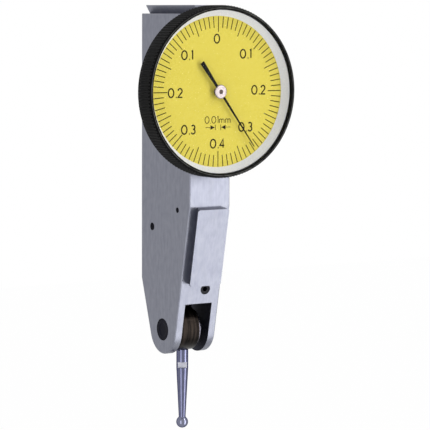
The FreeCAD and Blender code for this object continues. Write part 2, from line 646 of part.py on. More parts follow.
def hairspring():
    y = (COLLET_FRONT + COLLET_BACK - SPRING_WIDTH) / 2
    half = SPRING_THICKNESS / 2
    inner = spiral_edge(-half, y)
    outer = spiral_edge(half, y)
    first = FreeCAD.Vector(0, y, SPRING_START_R)
    last = FreeCAD.Vector(0, y, SPRING_END_R)
    across = FreeCAD.Vector(0, 0, half)
    caps = [Part.LineSegment(first - across, first + across).toShape(),
            Part.LineSegment(last - across, last + across).toShape()]
    outline = Part.Wire(Part.__sortEdges__(inner + outer + caps))
    return Part.Face(outline).extrude(FreeCAD.Vector(0, SPRING_WIDTH, 0))


# Gears

def involute(angle):
    return math.tan(angle) - angle


def tooth_half_angle(radius, pitch_r, teeth):
    """Half the angle that an involute tooth spans at a radius."""
    pressure = math.radians(PRESSURE_ANGLE)
    base_r = pitch_r * math.cos(pressure)
    flank = math.acos(base_r / max(radius, base_r))
    return math.pi * TOOTH_SHARE / teeth + involute(pressure) - involute(flank)


def gear_outline(module, teeth, first, last, angle):
    """Points round the teeth from index first to last, the tooth numbered 0 at the angle."""
    pitch_r = module * teeth / 2
    heights = [pitch_r - DEDENDUM * module, pitch_r - DEDENDUM * module / 2, pitch_r,
               pitch_r + ADDENDUM * module / 2, pitch_r + ADDENDUM * module]
    points = []
    for k in range(first, last + 1):
        middle = math.radians(angle) + k * 2 * math.pi / teeth
        rising = [(r, middle - tooth_half_angle(r, pitch_r, teeth)) for r in heights]
        falling = [(r, middle + tooth_half_angle(r, pitch_r, teeth)) for r in reversed(heights)]
        points += [(r * math.cos(a), r * math.sin(a)) for r, a in rising + falling]
    return points


def crown_pinion():
    """Pinion on the crown wheel's staff, a gap turned to the sector."""
    to_sector = -90 + SECTOR_LEAN
    outline = gear_outline(SECTOR_MODULE, PINION_TEETH, 0, PINION_TEETH - 1,
                           to_sector + 180 / PINION_TEETH)
    wheel = prism_x([(STAFF_Y + y, z) for y, z in outline], PINION_LEFT, PINION_RIGHT)
    return wheel.cut(rod_x(STAFF_Y, 0, STAFF_R + SEATED, PINION_LEFT - OVER, PINION_RIGHT + OVER))


def pointer_pinion():
    """Pinion on the pointer's arbor, a gap turned to the crown wheel's disc."""
    outline = gear_outline(CROWN_MODULE, POINTER_TEETH, 0, POINTER_TEETH - 1,
                           180 + 180 / POINTER_TEETH)
    back = CROWN_FACE_FRONT + CROWN_TOOTH_LENGTH
    wheel = prism_y(outline, CROWN_FACE_FRONT, back)
    return wheel.cut(rod_y(0, 0, ARBOR_R + SEATED, CROWN_FACE_FRONT - OVER, back + OVER))


def crown_wheel():
    """Disc with teeth that stand up from its face, one of them pointing straight to the front."""
    face_x = CROWN_RIGHT
    tip_x = -POINTER_PINION_R + ADDENDUM * CROWN_MODULE
    pitch = math.pi * CROWN_MODULE
    slant = math.tan(math.radians(PRESSURE_ANGLE))
    base_half = pitch * TOOTH_SHARE / 2 + (-POINTER_PINION_R - face_x) * slant
    tip_half = pitch * TOOTH_SHARE / 2 - (tip_x + POINTER_PINION_R) * slant
    points = [FreeCAD.Vector(x, CROWN_FACE_FRONT, z) for x, z in
              ((face_x, -base_half), (tip_x, -tip_half), (tip_x, tip_half), (face_x, base_half))]
    tooth = Part.Face(Part.makePolygon(points + points[:1])).extrude(Y_AXIS * CROWN_TOOTH_LENGTH)
    sunk = box(CROWN_LEFT, face_x, CROWN_FACE_FRONT, CROWN_FACE_FRONT + CROWN_TOOTH_LENGTH,
               -base_half, base_half)
    tooth = tooth.fuse(sunk)
    disc = rod_x(STAFF_Y, 0, CROWN_OUTER_R, CROWN_LEFT, face_x)
    teeth = []
    for k in range(CROWN_TEETH):
        copy = tooth.copy()
        copy.rotate(FreeCAD.Vector(0, STAFF_Y, 0), X_AXIS, 360 * k / CROWN_TEETH)
        teeth.append(copy)
    wheel = disc.fuse(teeth).removeSplitter()
    rim = rod_x(STAFF_Y, 0, CROWN_OUTER_R, CROWN_LEFT - OVER, tip_x + OVER)
    staff = rod_x(STAFF_Y, 0, STAFF_R + SEATED, CROWN_LEFT - OVER, tip_x + OVER)
    return wheel.common(rim).cut(staff)


def sector_gear():
    """Sector with its teeth above, a hub, and a slotted tail that the lever's pin drives."""
    to_staff = 90 + SECTOR_LEAN
    teeth = gear_outline(SECTOR_MODULE, SECTOR_TEETH, -SECTOR_HALF_TEETH, SECTOR_HALF_TEETH, to_staff)
    spread = (SECTOR_HALF_TEETH + 0.5) * 2 * math.pi / SECTOR_TEETH
    root_r = SECTOR_R - DEDENDUM * SECTOR_MODULE
    middle = math.radians(to_staff)
    outline = [(root_r * math.cos(middle - spread), root_r * math.sin(middle - spread))]
    outline += teeth
    outline += [(r * math.cos(middle + s), r * math.sin(middle + s))
                for r, s in ((root_r, spread), (root_r - SECTOR_RIM, spread),
                             (root_r - SECTOR_RIM, -spread))]
    rim = prism_x([(SECTOR_Y + y, SECTOR_Z + z) for y, z in outline], SECTOR_LEFT, SECTOR_RIGHT)
    half = SECTOR_ARM / 2
    arm = [along(SECTOR_Y, SECTOR_Z, -SECTOR_LEAN, d, s)
           for d, s in ((0, -half), (root_r - SECTOR_RIM / 2, -half),
                        (root_r - SECTOR_RIM / 2, half), (0, half))]
    half = SECTOR_TAIL / 2
    end = -SECTOR_PIN_REACH - SECTOR_TAIL_END
    tail = [along(SECTOR_Y, SECTOR_Z, LEVER_LEAN, d, s)
            for d, s in ((0, -half), (end, -half), (end, half), (0, half))]
    half = LEVER_PIN_R + RUNNING
    slot = [along(SECTOR_Y, SECTOR_Z, LEVER_LEAN, d, s)
            for d, s in ((half - SECTOR_PIN_REACH, -half), (end - OVER, -half),
                         (end - OVER, half), (half - SECTOR_PIN_REACH, half))]
    hub = rod_x(SECTOR_Y, SECTOR_Z, SECTOR_HUB_R, SECTOR_LEFT, SECTOR_RIGHT)
    gear = joined([hub, rim, prism_x(arm, SECTOR_LEFT, SECTOR_RIGHT),
                   prism_x(tail, SECTOR_LEFT, SECTOR_RIGHT)])
    bore = rod_x(SECTOR_Y, SECTOR_Z, SECTOR_STAFF_R + SEATED, SECTOR_LEFT - OVER, SECTOR_RIGHT + OVER)
    return gear.cut([bore, prism_x(slot, SECTOR_LEFT - OVER, SECTOR_RIGHT + OVER)])


# Movement

def staff(y, z, radius, pivot_r):
    """Shaft between the plates with a thinner pivot in each of them."""
    shoulder = PLATE_INNER - PIVOT_SHAKE
    end = HOLLOW_HALF - PIVOT_SHAKE
    return rod_x(y, z, radius, -shoulder, shoulder).fuse(
        rod_x(y, z, pivot_r, -end, end)).removeSplitter()


def movement_screw(y, z, side):
    """Countersunk screw from the outer face of a plate inwards; side is 1 or -1."""
    outer = side * HOLLOW_HALF
    head_end = side * (HOLLOW_HALF - MOVEMENT_SCREW_HEAD)
    tip = side * MOVEMENT_SCREW_REACH
    head = rod_x(y, z, MOVEMENT_SCREW_HEAD_R, min(outer, head_end), max(outer, head_end))
    shank = rod_x(y, z, MOVEMENT_SCREW_R, min(outer, tip), max(outer, tip))
    return head.fuse(shank).removeSplitter()


def movement_screw_holes(y, z, side):
    outer = side * (HOLLOW_HALF + OVER)
    head_end = side * (HOLLOW_HALF - MOVEMENT_SCREW_HEAD)
    tip = side * MOVEMENT_SCREW_REACH
    head = rod_x(y, z, MOVEMENT_SCREW_HEAD_R + SEATED, min(outer, head_end), max(outer, head_end))
    return head.fuse(rod_x(y, z, MOVEMENT_SCREW_R + SEATED, min(outer, tip), max(outer, tip)))


def stop_places():
    """Both sides of the sector's arm, where it rests at the end of its travel."""
    swing = LEVER_TRAVEL * LEVER_TO_SECTOR
    contact = math.degrees((SECTOR_ARM / 2 + STOP_PIN_R + RUNNING) / STOP_RADIUS)
    return [along(SECTOR_Y, SECTOR_Z, -SECTOR_LEAN + side * (swing + contact), STOP_RADIUS)
            for side in (-1, 1)]


def plate_blank(side):
    outline = [(PLATE_FRONT, PLATE_TOP), (PLATE_REAR, PLATE_TOP), (PLATE_REAR, PLATE_BOTTOM),
               (front_face_y(PLATE_BOTTOM) + FRONT_WALL + PILLAR_R, PLATE_BOTTOM),
               (PLATE_STEP_FRONT, FRAME_SCREW_Z - FRAME_SCREW_R - PILLAR_R),
               (PLATE_STEP_FRONT, PLATE_STEP_Z), (PLATE_FRONT, PLATE_STEP_Z + PLATE_THICKNESS)]
    faces = sorted((side * PLATE_INNER, side * HOLLOW_HALF))
    plate = prism_x(outline, *faces)
    low, high = faces[0] - OVER, faces[1] + OVER
    holes = [rod_x(STAFF_Y, 0, STAFF_PIVOT_R + RUNNING, low, high),
             rod_x(SECTOR_Y, SECTOR_Z, SECTOR_PIVOT_R + RUNNING, low, high)]
    holes += [movement_screw_holes(y, z, side) for y, z in PILLARS]
    return plate.cut(holes)


def left_plate():
    hole = rod_x(FRAME_SCREW_Y, FRAME_SCREW_Z, FRAME_SCREW_R + SEATED,
                 -HOLLOW_HALF - OVER, -PLATE_INNER + OVER)
    return plate_blank(-1).cut(hole)


def right_plate():
    holes = [movement_screw_holes(y, z, 1) for y, z in COCK_SCREWS]
    holes += [rod_x(y, z, STOP_PIN_R + SEATED, PLATE_INNER - OVER, HOLLOW_HALF + OVER)
              for y, z in stop_places()]
    return plate_blank(1).cut(holes)


def pillar(y, z):
    rod = rod_x(y, z, PILLAR_R, -PLATE_INNER, PLATE_INNER)
    return rod.cut([movement_screw_holes(y, z, side) for side in (-1, 1)])


def pointer_cock():
    """Bracket from the right plate that carries the rear end of the pointer's arbor."""
    arm = box(COCK_LEFT, PLATE_INNER, COCK_BACK - COCK_THICKNESS, COCK_BACK,
              COCK_ARM_BOTTOM, COCK_ARM_TOP)
    foot = box(COCK_FOOT_LEFT, PLATE_INNER, COCK_FRONT, COCK_BACK,
               COCK_FOOT_BOTTOM, COCK_TOP)
    holes = [movement_screw_holes(y, z, 1) for y, z in COCK_SCREWS]
    holes.append(rod_y(0, 0, ARBOR_PIVOT_R + RUNNING, COCK_FRONT, COCK_BACK + OVER))
    return joined([arm, foot]).cut(holes)


# Lever, its bearings and the stylus

def lever_plate():
    """Round cheek beside the stylus carrier with an arm that reaches up to the sector's tail."""
    right = LEVER_LEFT + LEVER_THICKNESS
    cheek = rod_x(PIVOT_Y, PIVOT_Z, LEVER_DISC_R, LEVER_LEFT, right)
    wide = LEVER_ARM / 2
    tip = LEVER_ARM_TIP / 2
    arm = [along(PIVOT_Y, PIVOT_Z, LEVER_LEAN, d, s)
           for d, s in ((0, -wide), (LEVER_PIN_REACH, -tip), (LEVER_PIN_REACH, tip), (0, wide))]
    pin_y, pin_z = along(PIVOT_Y, PIVOT_Z, LEVER_LEAN, LEVER_PIN_REACH)
    eye = rod_x(pin_y, pin_z, tip, LEVER_LEFT, right)
    lever = joined([cheek, prism_x(arm, LEVER_LEFT, right), eye])
    return lever.cut([rod_x(PIVOT_Y, PIVOT_Z, SHAFT_R + SEATED, LEVER_LEFT - OVER, right + OVER),
                      rod_x(pin_y, pin_z, LEVER_PIN_R + SEATED, LEVER_LEFT - OVER, right + OVER)])


def lever_pin():
    pin_y, pin_z = along(PIVOT_Y, PIVOT_Z, LEVER_LEAN, LEVER_PIN_REACH)
    return rod_x(pin_y, pin_z, LEVER_PIN_R, SECTOR_LEFT, LEVER_LEFT + LEVER_THICKNESS)


def lever_shaft():
    """Shaft with a journal in each ear; the carrier turns on its thick middle."""
    right = LEVER_LEFT + LEVER_THICKNESS
    end = HALF_WIDTH - CAP_RECESS - CAP_THICKNESS - PIVOT_SHAKE
    neck = SLOT_HALF - RUNNING
    return joined([rod_x(PIVOT_Y, PIVOT_Z, SHAFT_R, SHAFT_SHOULDER, right),
                   rod_x(PIVOT_Y, PIVOT_Z, SHAFT_NECK_R, -neck, neck),
                   rod_x(PIVOT_Y, PIVOT_Z, JOURNAL_R, -end, end)])


def bearing_ring(side):
    faces = sorted((side * SLOT_HALF, side * (SLOT_HALF + BEARING_WIDTH)))
    ring = rod_x(PIVOT_Y, PIVOT_Z, BEARING_R, *faces)
    return ring.cut(rod_x(PIVOT_Y, PIVOT_Z, BEARING_R - BEARING_RING, faces[0] - OVER, faces[1] + OVER))


def bearing_balls(side):
    x = side * (SLOT_HALF + BEARING_WIDTH / 2)
    balls = []
    for k in range(BALL_COUNT):
        angle = 2 * math.pi * k / BALL_COUNT
        centre = FreeCAD.Vector(x, PIVOT_Y + BALL_TRACK_R * math.sin(angle),
                                PIVOT_Z + BALL_TRACK_R * math.cos(angle))
        balls.append(Part.makeSphere(BEARING_BALL_R, centre))
    return balls


def bearing_cap(side):
    outer = HALF_WIDTH - CAP_RECESS
    return rod_x(PIVOT_Y, PIVOT_Z, BEARING_R, *sorted((side * outer, side * (outer - CAP_THICKNESS))))


def stylus_drum():
    """Black carrier that grips the shaft by friction and holds the screwed-in stylus."""
    drum = rod_x(PIVOT_Y, PIVOT_Z, DRUM_R, DRUM_LEFT, DRUM_RIGHT)
    flat_z = PIVOT_Z - DRUM_FLAT
    cuts = [box(DRUM_LEFT - OVER, DRUM_RIGHT + OVER, PIVOT_Y - DRUM_R, PIVOT_Y + DRUM_R,
                flat_z - OVER, flat_z),
            rod_x(PIVOT_Y, PIVOT_Z, SHAFT_R + RUNNING, DRUM_LEFT - OVER, DRUM_RIGHT + OVER),
            rod_x(PIVOT_Y, PIVOT_Z, DRUM_POCKET_R, DRUM_LEFT - OVER, SHAFT_SHOULDER),
            rod_z(0, PIVOT_Y, STYLUS_THREAD_R + SEATED, flat_z - OVER, flat_z + STYLUS_THREAD)]
    return drum.cut(cuts)


def friction_washer():
    left = SHAFT_SHOULDER - WASHER_THICKNESS
    ring = rod_x(PIVOT_Y, PIVOT_Z, WASHER_R, left, SHAFT_SHOULDER)
    return ring.cut(rod_x(PIVOT_Y, PIVOT_Z, SHAFT_NECK_R + SEATED, left - OVER, SHAFT_SHOULDER + OVER))


def friction_nut():
    right = SHAFT_SHOULDER - WASHER_THICKNESS
    left = right - NUT_THICKNESS
    nut = rod_x(PIVOT_Y, PIVOT_Z, NUT_R, left, right)
    slot = box(left - OVER, left + NUT_THICKNESS / 2, PIVOT_Y - NUT_R, PIVOT_Y + NUT_R,
               PIVOT_Z - SCREW_SLOT, PIVOT_Z + SCREW_SLOT)
    return nut.cut([rod_x(PIVOT_Y, PIVOT_Z, SHAFT_NECK_R + SEATED, left - OVER, right + OVER), slot])


def stylus_stem():
    """Turned stem: thread above the shoulder, wrench flats, long taper and a spigot in the ball."""
    shoulder_z = PIVOT_Z - DRUM_FLAT
    flats_end = FLATS_TOP + FLATS_HEIGHT
    stem = turned_z([(0, -STYLUS_THREAD), (STYLUS_THREAD_R, -STYLUS_THREAD), (STYLUS_THREAD_R, 0),
                     (STYLUS_R, 0), (STYLUS_R, flats_end), (NECK_R, NECK_END), (SPIGOT_R, NECK_END),
                     (SPIGOT_R, SPIGOT_END), (0, SPIGOT_END)], 0, PIVOT_Y, shoulder_z)
    for side in (-1, 1):
        faces = sorted((side * FLATS_ACROSS / 2, side * (STYLUS_R + OVER)))
        cheek = box(-STYLUS_R, STYLUS_R, PIVOT_Y + faces[0], PIVOT_Y + faces[1],
                    shoulder_z - flats_end, shoulder_z - FLATS_TOP)
        cheek.rotate(FreeCAD.Vector(0, PIVOT_Y, 0), Z_AXIS, FLATS_TURN)
        stem = stem.cut(cheek)
    return stem


def contact_ball():
    shoulder_z = PIVOT_Z - DRUM_FLAT
    ball = Part.makeSphere(BALL_R, FreeCAD.Vector(0, PIVOT_Y, shoulder_z - STYLUS_LENGTH))
    stem = turned_z([(0, 0), (STYLUS_R, 0), (NECK_R + SEATED, NECK_END + SEATED),
                     (SPIGOT_R + SEATED, NECK_END + SEATED), (SPIGOT_R + SEATED, SPIGOT_END + SEATED),
                     (0, SPIGOT_END + SEATED)], 0, PIVOT_Y, shoulder_z)
    return ball.cut(stem)


def main():
    os.makedirs("parts", exist_ok=True)
    export("housing", housing())
    export("frame_screw", slotted_set_screw(FRAME_SCREW_Y, FRAME_SCREW_Z, FRAME_SCREW_R, -PLATE_INNER))
    export("sector_pivot_screw", slotted_set_screw(SECTOR_Y, SECTOR_Z, PIVOT_SCREW_R, -HOLLOW_HALF))
    export("bridge_screw", bridge_screw())
    export("dial_case", dial_case())
    export("dial_case_screws", *[case_screw(x, z) for x, z in case_screw_places()])
    export("bezel_wire", bezel_wire())
    export("bezel", bezel())
    export("crystal", crystal())
    export("reflector_ring", reflector_ring())
    export("dial_plate", dial_plate())
    export("pointer", pointer())
    export("pointer_hub", pointer_hub())
    export("pointer_arbor", pointer_arbor())
    export("pointer_bush", pointer_bush())
    export("pointer_pinion", pointer_pinion())
    export("hairspring_collet", collet())
    export("hairspring", hairspring())
    export("hairspring_stud", rod_y(0, STUD_Z, STUD_R, CASE_FRONT, COLLET_BACK))
    export("pointer_cock", pointer_cock())
    export("cock_screws", *[movement_screw(y, z, 1) for y, z in COCK_SCREWS])
    export("movement_plate_left", left_plate())
    export("movement_plate_right", right_plate())
    export("movement_pillars", *[pillar(y, z) for y, z in PILLARS])
    export("movement_screws", *[movement_screw(y, z, side) for y, z in PILLARS for side in (-1, 1)])
    export("stop_pins", *[rod_x(y, z, STOP_PIN_R, STOP_PIN_TIP, HOLLOW_HALF) for y, z in stop_places()])
    export("crown_staff", staff(STAFF_Y, 0, STAFF_R, STAFF_PIVOT_R))
    export("crown_pinion", crown_pinion())
    export("crown_wheel", crown_wheel())
    export("sector_staff", staff(SECTOR_Y, SECTOR_Z, SECTOR_STAFF_R, SECTOR_PIVOT_R))
    export("sector_gear", sector_gear())
    export("lever_plate", lever_plate())
    export("lever_pin", lever_pin())
    export("lever_shaft", lever_shaft())
    for name, side in (("left", -1), ("right", 1)):
        export("bearing_ring_" + name, bearing_ring(side))
        export("bearing_balls_" + name, *bearing_balls(side))
        export("bearing_cap_" + name, bearing_cap(side))
    export("stylus_drum", stylus_drum())
    export("friction_washer", friction_washer())
    export("friction_nut", friction_nut())
    export("stylus_stem", stylus_stem())
    export("contact_ball", contact_ball())


main()
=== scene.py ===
import math
import bmesh
import bpy
from mathutils import Matrix, Vector


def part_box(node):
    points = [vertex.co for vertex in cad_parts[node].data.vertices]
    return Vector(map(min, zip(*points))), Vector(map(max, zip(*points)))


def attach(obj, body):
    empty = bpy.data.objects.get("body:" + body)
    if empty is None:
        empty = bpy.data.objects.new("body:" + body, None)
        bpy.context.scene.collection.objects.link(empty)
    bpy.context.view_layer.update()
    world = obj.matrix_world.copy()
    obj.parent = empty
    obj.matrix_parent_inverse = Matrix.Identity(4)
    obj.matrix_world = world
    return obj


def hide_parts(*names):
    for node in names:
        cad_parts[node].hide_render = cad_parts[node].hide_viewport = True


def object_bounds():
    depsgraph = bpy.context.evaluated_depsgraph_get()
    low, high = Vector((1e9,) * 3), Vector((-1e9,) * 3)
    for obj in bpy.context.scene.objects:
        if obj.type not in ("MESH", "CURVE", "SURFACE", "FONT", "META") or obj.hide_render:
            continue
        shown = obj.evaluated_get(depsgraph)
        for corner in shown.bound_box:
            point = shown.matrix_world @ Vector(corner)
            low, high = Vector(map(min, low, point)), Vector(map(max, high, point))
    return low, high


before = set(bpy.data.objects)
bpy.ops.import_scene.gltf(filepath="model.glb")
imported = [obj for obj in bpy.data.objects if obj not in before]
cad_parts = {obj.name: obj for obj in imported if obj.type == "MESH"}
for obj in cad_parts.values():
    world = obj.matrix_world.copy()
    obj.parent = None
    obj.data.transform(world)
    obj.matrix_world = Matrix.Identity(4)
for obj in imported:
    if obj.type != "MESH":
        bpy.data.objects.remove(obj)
cad_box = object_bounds()

# Studio: white surroundings, a pale floor some way below the hanging indicator, and softboxes:
# two front right that the front faces mirror, a weak one front left, a small one above for
# the shadows. All sizes below are millimetres from the middle of the printed dial face.
MM = 0.001
dial_low, dial_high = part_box("dial_plate")
DIAL = Vector(((dial_low.x + dial_high.x) / 2, dial_low.y, (dial_low.z + dial_high.z) / 2))
VIEW_TURN = math.radians(32.206)
VIEW_RISE = math.radians(5.404)
VIEW_ROLL = math.radians(-0.221)
VIEW_DISTANCE = 346.26
VIEW_SIDE = -0.514
VIEW_DROP = -20.035
FLOOR_DROP = 0.55
FLOOR_HALF = 4.0
FLOOR_GLOW = 0.99       # share of plain white that the floor shows to the eye
FILL = 0.34             # light that the surroundings give
LENS = 178.5
SENSOR = 36.0
LAMPS_FACE = (0, 8, -18)


def row(x, y, z):
    """A point of the dial's own frame as the model has it."""
    return DIAL + Vector((x, y, z)) * MM


def seen(red, green, blue):
    """A colour as the eye has it, 0 to 255, as the shader wants it."""
    parts = [c / 255 for c in (red, green, blue)]
    return tuple(c / 12.92 if c <= 0.04045 else ((c + 0.055) / 1.055) ** 2.4 for c in parts) + (1.0,)


def bright_rays(tree):
    """1 for the rays that see or mirror the surroundings, 0 for those that only light things."""
    path = tree.nodes.new("ShaderNodeLightPath")
    either = tree.nodes.new("ShaderNodeMath")
    either.operation = "MAXIMUM"
    tree.links.new(path.outputs["Is Camera Ray"], either.inputs[0])
    tree.links.new(path.outputs["Is Glossy Ray"], either.inputs[1])
    any_ray = tree.nodes.new("ShaderNodeMath")
    any_ray.operation = "MAXIMUM"
    tree.links.new(either.outputs[0], any_ray.inputs[0])
    tree.links.new(path.outputs["Is Transmission Ray"], any_ray.inputs[1])
    return any_ray.outputs[0]


def softbox(name, turn, rise, distance, width, height, radiance):
    """Lamp that faces the dial; turn is to the right of the front, rise above the level."""
    turn, rise = math.radians(turn), math.radians(rise)
    away = Vector((math.sin(turn) * math.cos(rise), -math.cos(turn) * math.cos(rise), math.sin(rise)))
    data = bpy.data.lights.new(name, "AREA")
    data.shape = "RECTANGLE"
    data.size = width
    data.size_y = height
    data.energy = radiance * math.pi * width * height
    lamp = bpy.data.objects.new(name, data)
    lamp.location = row(*LAMPS_FACE) + away * distance
    lamp.rotation_euler = away.to_track_quat("Z", "Y").to_euler()
    bpy.context.scene.collection.objects.link(lamp)


back = Vector((-math.sin(VIEW_TURN) * math.cos(VIEW_RISE),
               -math.cos(VIEW_TURN) * math.cos(VIEW_RISE), math.sin(VIEW_RISE)))
level = Vector((math.cos(VIEW_TURN), -math.sin(VIEW_TURN), 0))
upright = back.cross(level)
view_right = level * math.cos(VIEW_ROLL) - upright * math.sin(VIEW_ROLL)
view_up = level * math.sin(VIEW_ROLL) + upright * math.cos(VIEW_ROLL)
eye = DIAL + (view_right * VIEW_SIDE + view_up * VIEW_DROP + back * VIEW_DISTANCE) * MM
lens = bpy.data.cameras.new("camera")
lens.sensor_width = SENSOR
lens.lens = LENS
lens.clip_start = 0.01
lens.clip_end = 20.0
camera = bpy.data.objects.new("camera", lens)
turned_to_view = Matrix((view_right, view_up, back)).transposed().to_4x4()
camera.matrix_world = Matrix.Translation(eye) @ turned_to_view
bpy.context.scene.collection.objects.link(camera)
bpy.context.scene.camera = camera
bpy.context.scene.view_settings.view_transform = "Standard"

world = bpy.data.worlds.new("surroundings")
world.use_nodes = True
bpy.context.scene.world = world
tree = world.node_tree
fill = tree.nodes["Background"]
fill.inputs["Color"].default_value = (1, 1, 1, 1)
fill.inputs["Strength"].default_value = FILL
white = tree.nodes.new("ShaderNodeBackground")
white.inputs["Color"].default_value = (1, 1, 1, 1)
white.inputs["Strength"].default_value = 1.0
choice = tree.nodes.new("ShaderNodeMixShader")
tree.links.new(bright_rays(tree), choice.inputs[0])
tree.links.new(fill.outputs[0], choice.inputs[1])
tree.links.new(white.outputs[0], choice.inputs[2])
tree.links.new(choice.outputs[0], tree.nodes["World Output"].inputs["Surface"])

floor_finish = bpy.data.materials.new("pale_floor")
floor_finish.use_nodes = True
tree = floor_finish.node_tree
matt = tree.nodes["Principled BSDF"]
matt.inputs["Base Color"].default_value = (0.92, 0.92, 0.92, 1)
matt.inputs["Roughness"].default_value = 0.9
glow = tree.nodes.new("ShaderNodeEmission")
share = tree.nodes.new("ShaderNodeMath")
share.operation = "MULTIPLY"
share.inputs[1].default_value = FLOOR_GLOW
choice = tree.nodes.new("ShaderNodeMixShader")
tree.links.new(bright_rays(tree), share.inputs[0])
tree.links.new(share.outputs[0], choice.inputs[0])
tree.links.new(matt.outputs[0], choice.inputs[1])
tree.links.new(glow.outputs[0], choice.inputs[2])
tree.links.new(choice.outputs[0], tree.nodes["Material Output"].inputs["Surface"])
floor_z = cad_box[0].z - FLOOR_DROP
floor_mesh = bpy.data.meshes.new("floor")
floor_mesh.from_pydata([(-FLOOR_HALF, -FLOOR_HALF, floor_z), (FLOOR_HALF, -FLOOR_HALF, floor_z),
                        (FLOOR_HALF, FLOOR_HALF, floor_z), (-FLOOR_HALF, FLOOR_HALF, floor_z)],
                       [], [(0, 1, 2, 3)])
floor_mesh.materials.append(floor_finish)
floor = bpy.data.objects.new("floor", floor_mesh)
bpy.context.scene.collection.objects.link(floor)

softbox("front_softbox", 32, 6, 0.60, 0.28, 0.46, 3.9)
softbox("low_softbox", 32, -29, 0.60, 0.28, 0.34, 3.2)
softbox("left_softbox", -58, -4, 0.70, 0.32, 0.90, 1.9)
softbox("top_softbox", 42, 44, 0.60, 0.16, 0.16, 11.0)

# Body: one milled block of steel with its three dovetails, drilled and slotted, then line
# brushed from top to bottom and hard chromed to a satin grey. It carries everything else.
WALL = 1.3              # side walls of its hollow and of the fork
JOIN_GAP = 0.002        # loose corners closer than this are one corner
FLAT_ANGLE = 0.5        # degrees under which two faces are one flat face
BEVEL_ANGLE = 30        # degrees from which an edge is eased


def finish(name, colour, roughness, metallic=1.0, shine=0.5):
    """New material and its shader; shine is the specular level of what isn't metal."""
    material = bpy.data.materials.new(name)
    material.use_nodes = True
    shader = material.node_tree.nodes["Principled BSDF"]
    shader.inputs["Base Color"].default_value = colour
    shader.inputs["Roughness"].default_value = roughness
    shader.inputs["Metallic"].default_value = metallic
    shader.inputs["Specular IOR Level"].default_value = shine
    return material, shader


def grain(shader, per_mm, stretch=(1, 1, 1), detail=3.0):
    """Noise on the piece's own coordinates; a stretch below 1 draws it out along that axis."""
    tree = shader.id_data
    place = tree.nodes.new("ShaderNodeTexCoord")
    mapping = tree.nodes.new("ShaderNodeMapping")
    mapping.inputs["Scale"].default_value = [s * per_mm / MM for s in stretch]
    noise = tree.nodes.new("ShaderNodeTexNoise")
    noise.inputs["Scale"].default_value = 1.0
    noise.inputs["Detail"].default_value = detail
    tree.links.new(place.outputs["Object"], mapping.inputs["Vector"])
    tree.links.new(mapping.outputs["Vector"], noise.inputs["Vector"])
    return noise.outputs[0]


def spread(shader, value, socket, low, high):
    """Carry noise between 0.3 and 0.7 to a shader value between low and high."""
    tree = shader.id_data
    scale = tree.nodes.new("ShaderNodeMapRange")
    scale.inputs["From Min"].default_value = 0.3
    scale.inputs["From Max"].default_value = 0.7
    scale.inputs["To Min"].default_value = low
    scale.inputs["To Max"].default_value = high
    tree.links.new(value, scale.inputs["Value"])
    tree.links.new(scale.outputs[0], shader.inputs[socket])


def shade(shader, value, dark, light, low=0.35, high=0.65):
    """Run the base colour between two shades with the noise."""
    tree = shader.id_data
    ramp = tree.nodes.new("ShaderNodeValToRGB")
    ramp.color_ramp.elements[0].position = low
    ramp.color_ramp.elements[0].color = dark
    ramp.color_ramp.elements[1].position = high
    ramp.color_ramp.elements[1].color = light
    tree.links.new(value, ramp.inputs[0])
    tree.links.new(ramp.outputs[0], shader.inputs["Base Color"])


def relief(shader, value, height):
    """Bump of so many millimetres from the noise."""
    tree = shader.id_data
    bump = tree.nodes.new("ShaderNodeBump")
    bump.inputs["Strength"].default_value = 1.0
    bump.inputs["Distance"].default_value = height * MM
    tree.links.new(value, bump.inputs["Height"])
    tree.links.new(bump.outputs[0], shader.inputs["Normal"])


def blended(shader, first, second, share):
    """Sum of two noises, the second with the given share."""
    mix = shader.id_data.nodes.new("ShaderNodeMix")
    mix.inputs[0].default_value = share
    shader.id_data.links.new(first, mix.inputs[2])
    shader.id_data.links.new(second, mix.inputs[3])
    return mix.outputs[0]


def worked(name, colour, roughness, tones, gloss, per_mm, stretch=(1, 1, 1), detail=3.0,
           height=0.0, metallic=1.0, shine=0.5, span=(0.35, 0.65), tint=None):
    """Material whose shade, roughness and relief all follow one grain."""
    material, shader = finish(name, colour, roughness, metallic, shine)
    if tint:
        shader.inputs["Specular Tint"].default_value = tint
    marks = grain(shader, per_mm, stretch, detail)
    shade(shader, marks, *tones, *span)
    spread(shader, marks, "Roughness", *gloss)
    if height:
        relief(shader, marks, height)
    return material


def settled(obj):
    """Apply the modifiers, so that the piece is a plain mesh."""
    graph = bpy.context.evaluated_depsgraph_get()
    mesh = bpy.data.meshes.new_from_object(obj.evaluated_get(graph), depsgraph=graph)
    obj.modifiers.clear()
    obj.data = mesh
    return obj


def piece(name, mesh, material, body, nodes=(), round_to=30, bevel=0.0):
    """Finish a mesh as a piece: edges, smooth faces, material, body and nodes it stands for."""
    obj = bpy.data.objects.new(name, mesh)
    bpy.context.scene.collection.objects.link(obj)
    if bevel:
        ease = obj.modifiers.new("ease", "BEVEL")
        ease.width = bevel * MM
        ease.segments = 2
        ease.limit_method = "ANGLE"
        ease.angle_limit = math.radians(BEVEL_ANGLE)
        ease.use_clamp_overlap = True
        settled(obj)
    obj.data.shade_smooth()
    obj.data.set_sharp_from_angle(angle=math.radians(round_to))
    flat = obj.modifiers.new("flat_faces", "WEIGHTED_NORMAL")
    flat.keep_sharp = True
    settled(obj)
    obj.data.materials.clear()
    obj.data.materials.append(material)
    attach(obj, body)
    if nodes:
        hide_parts(*nodes)
    return obj


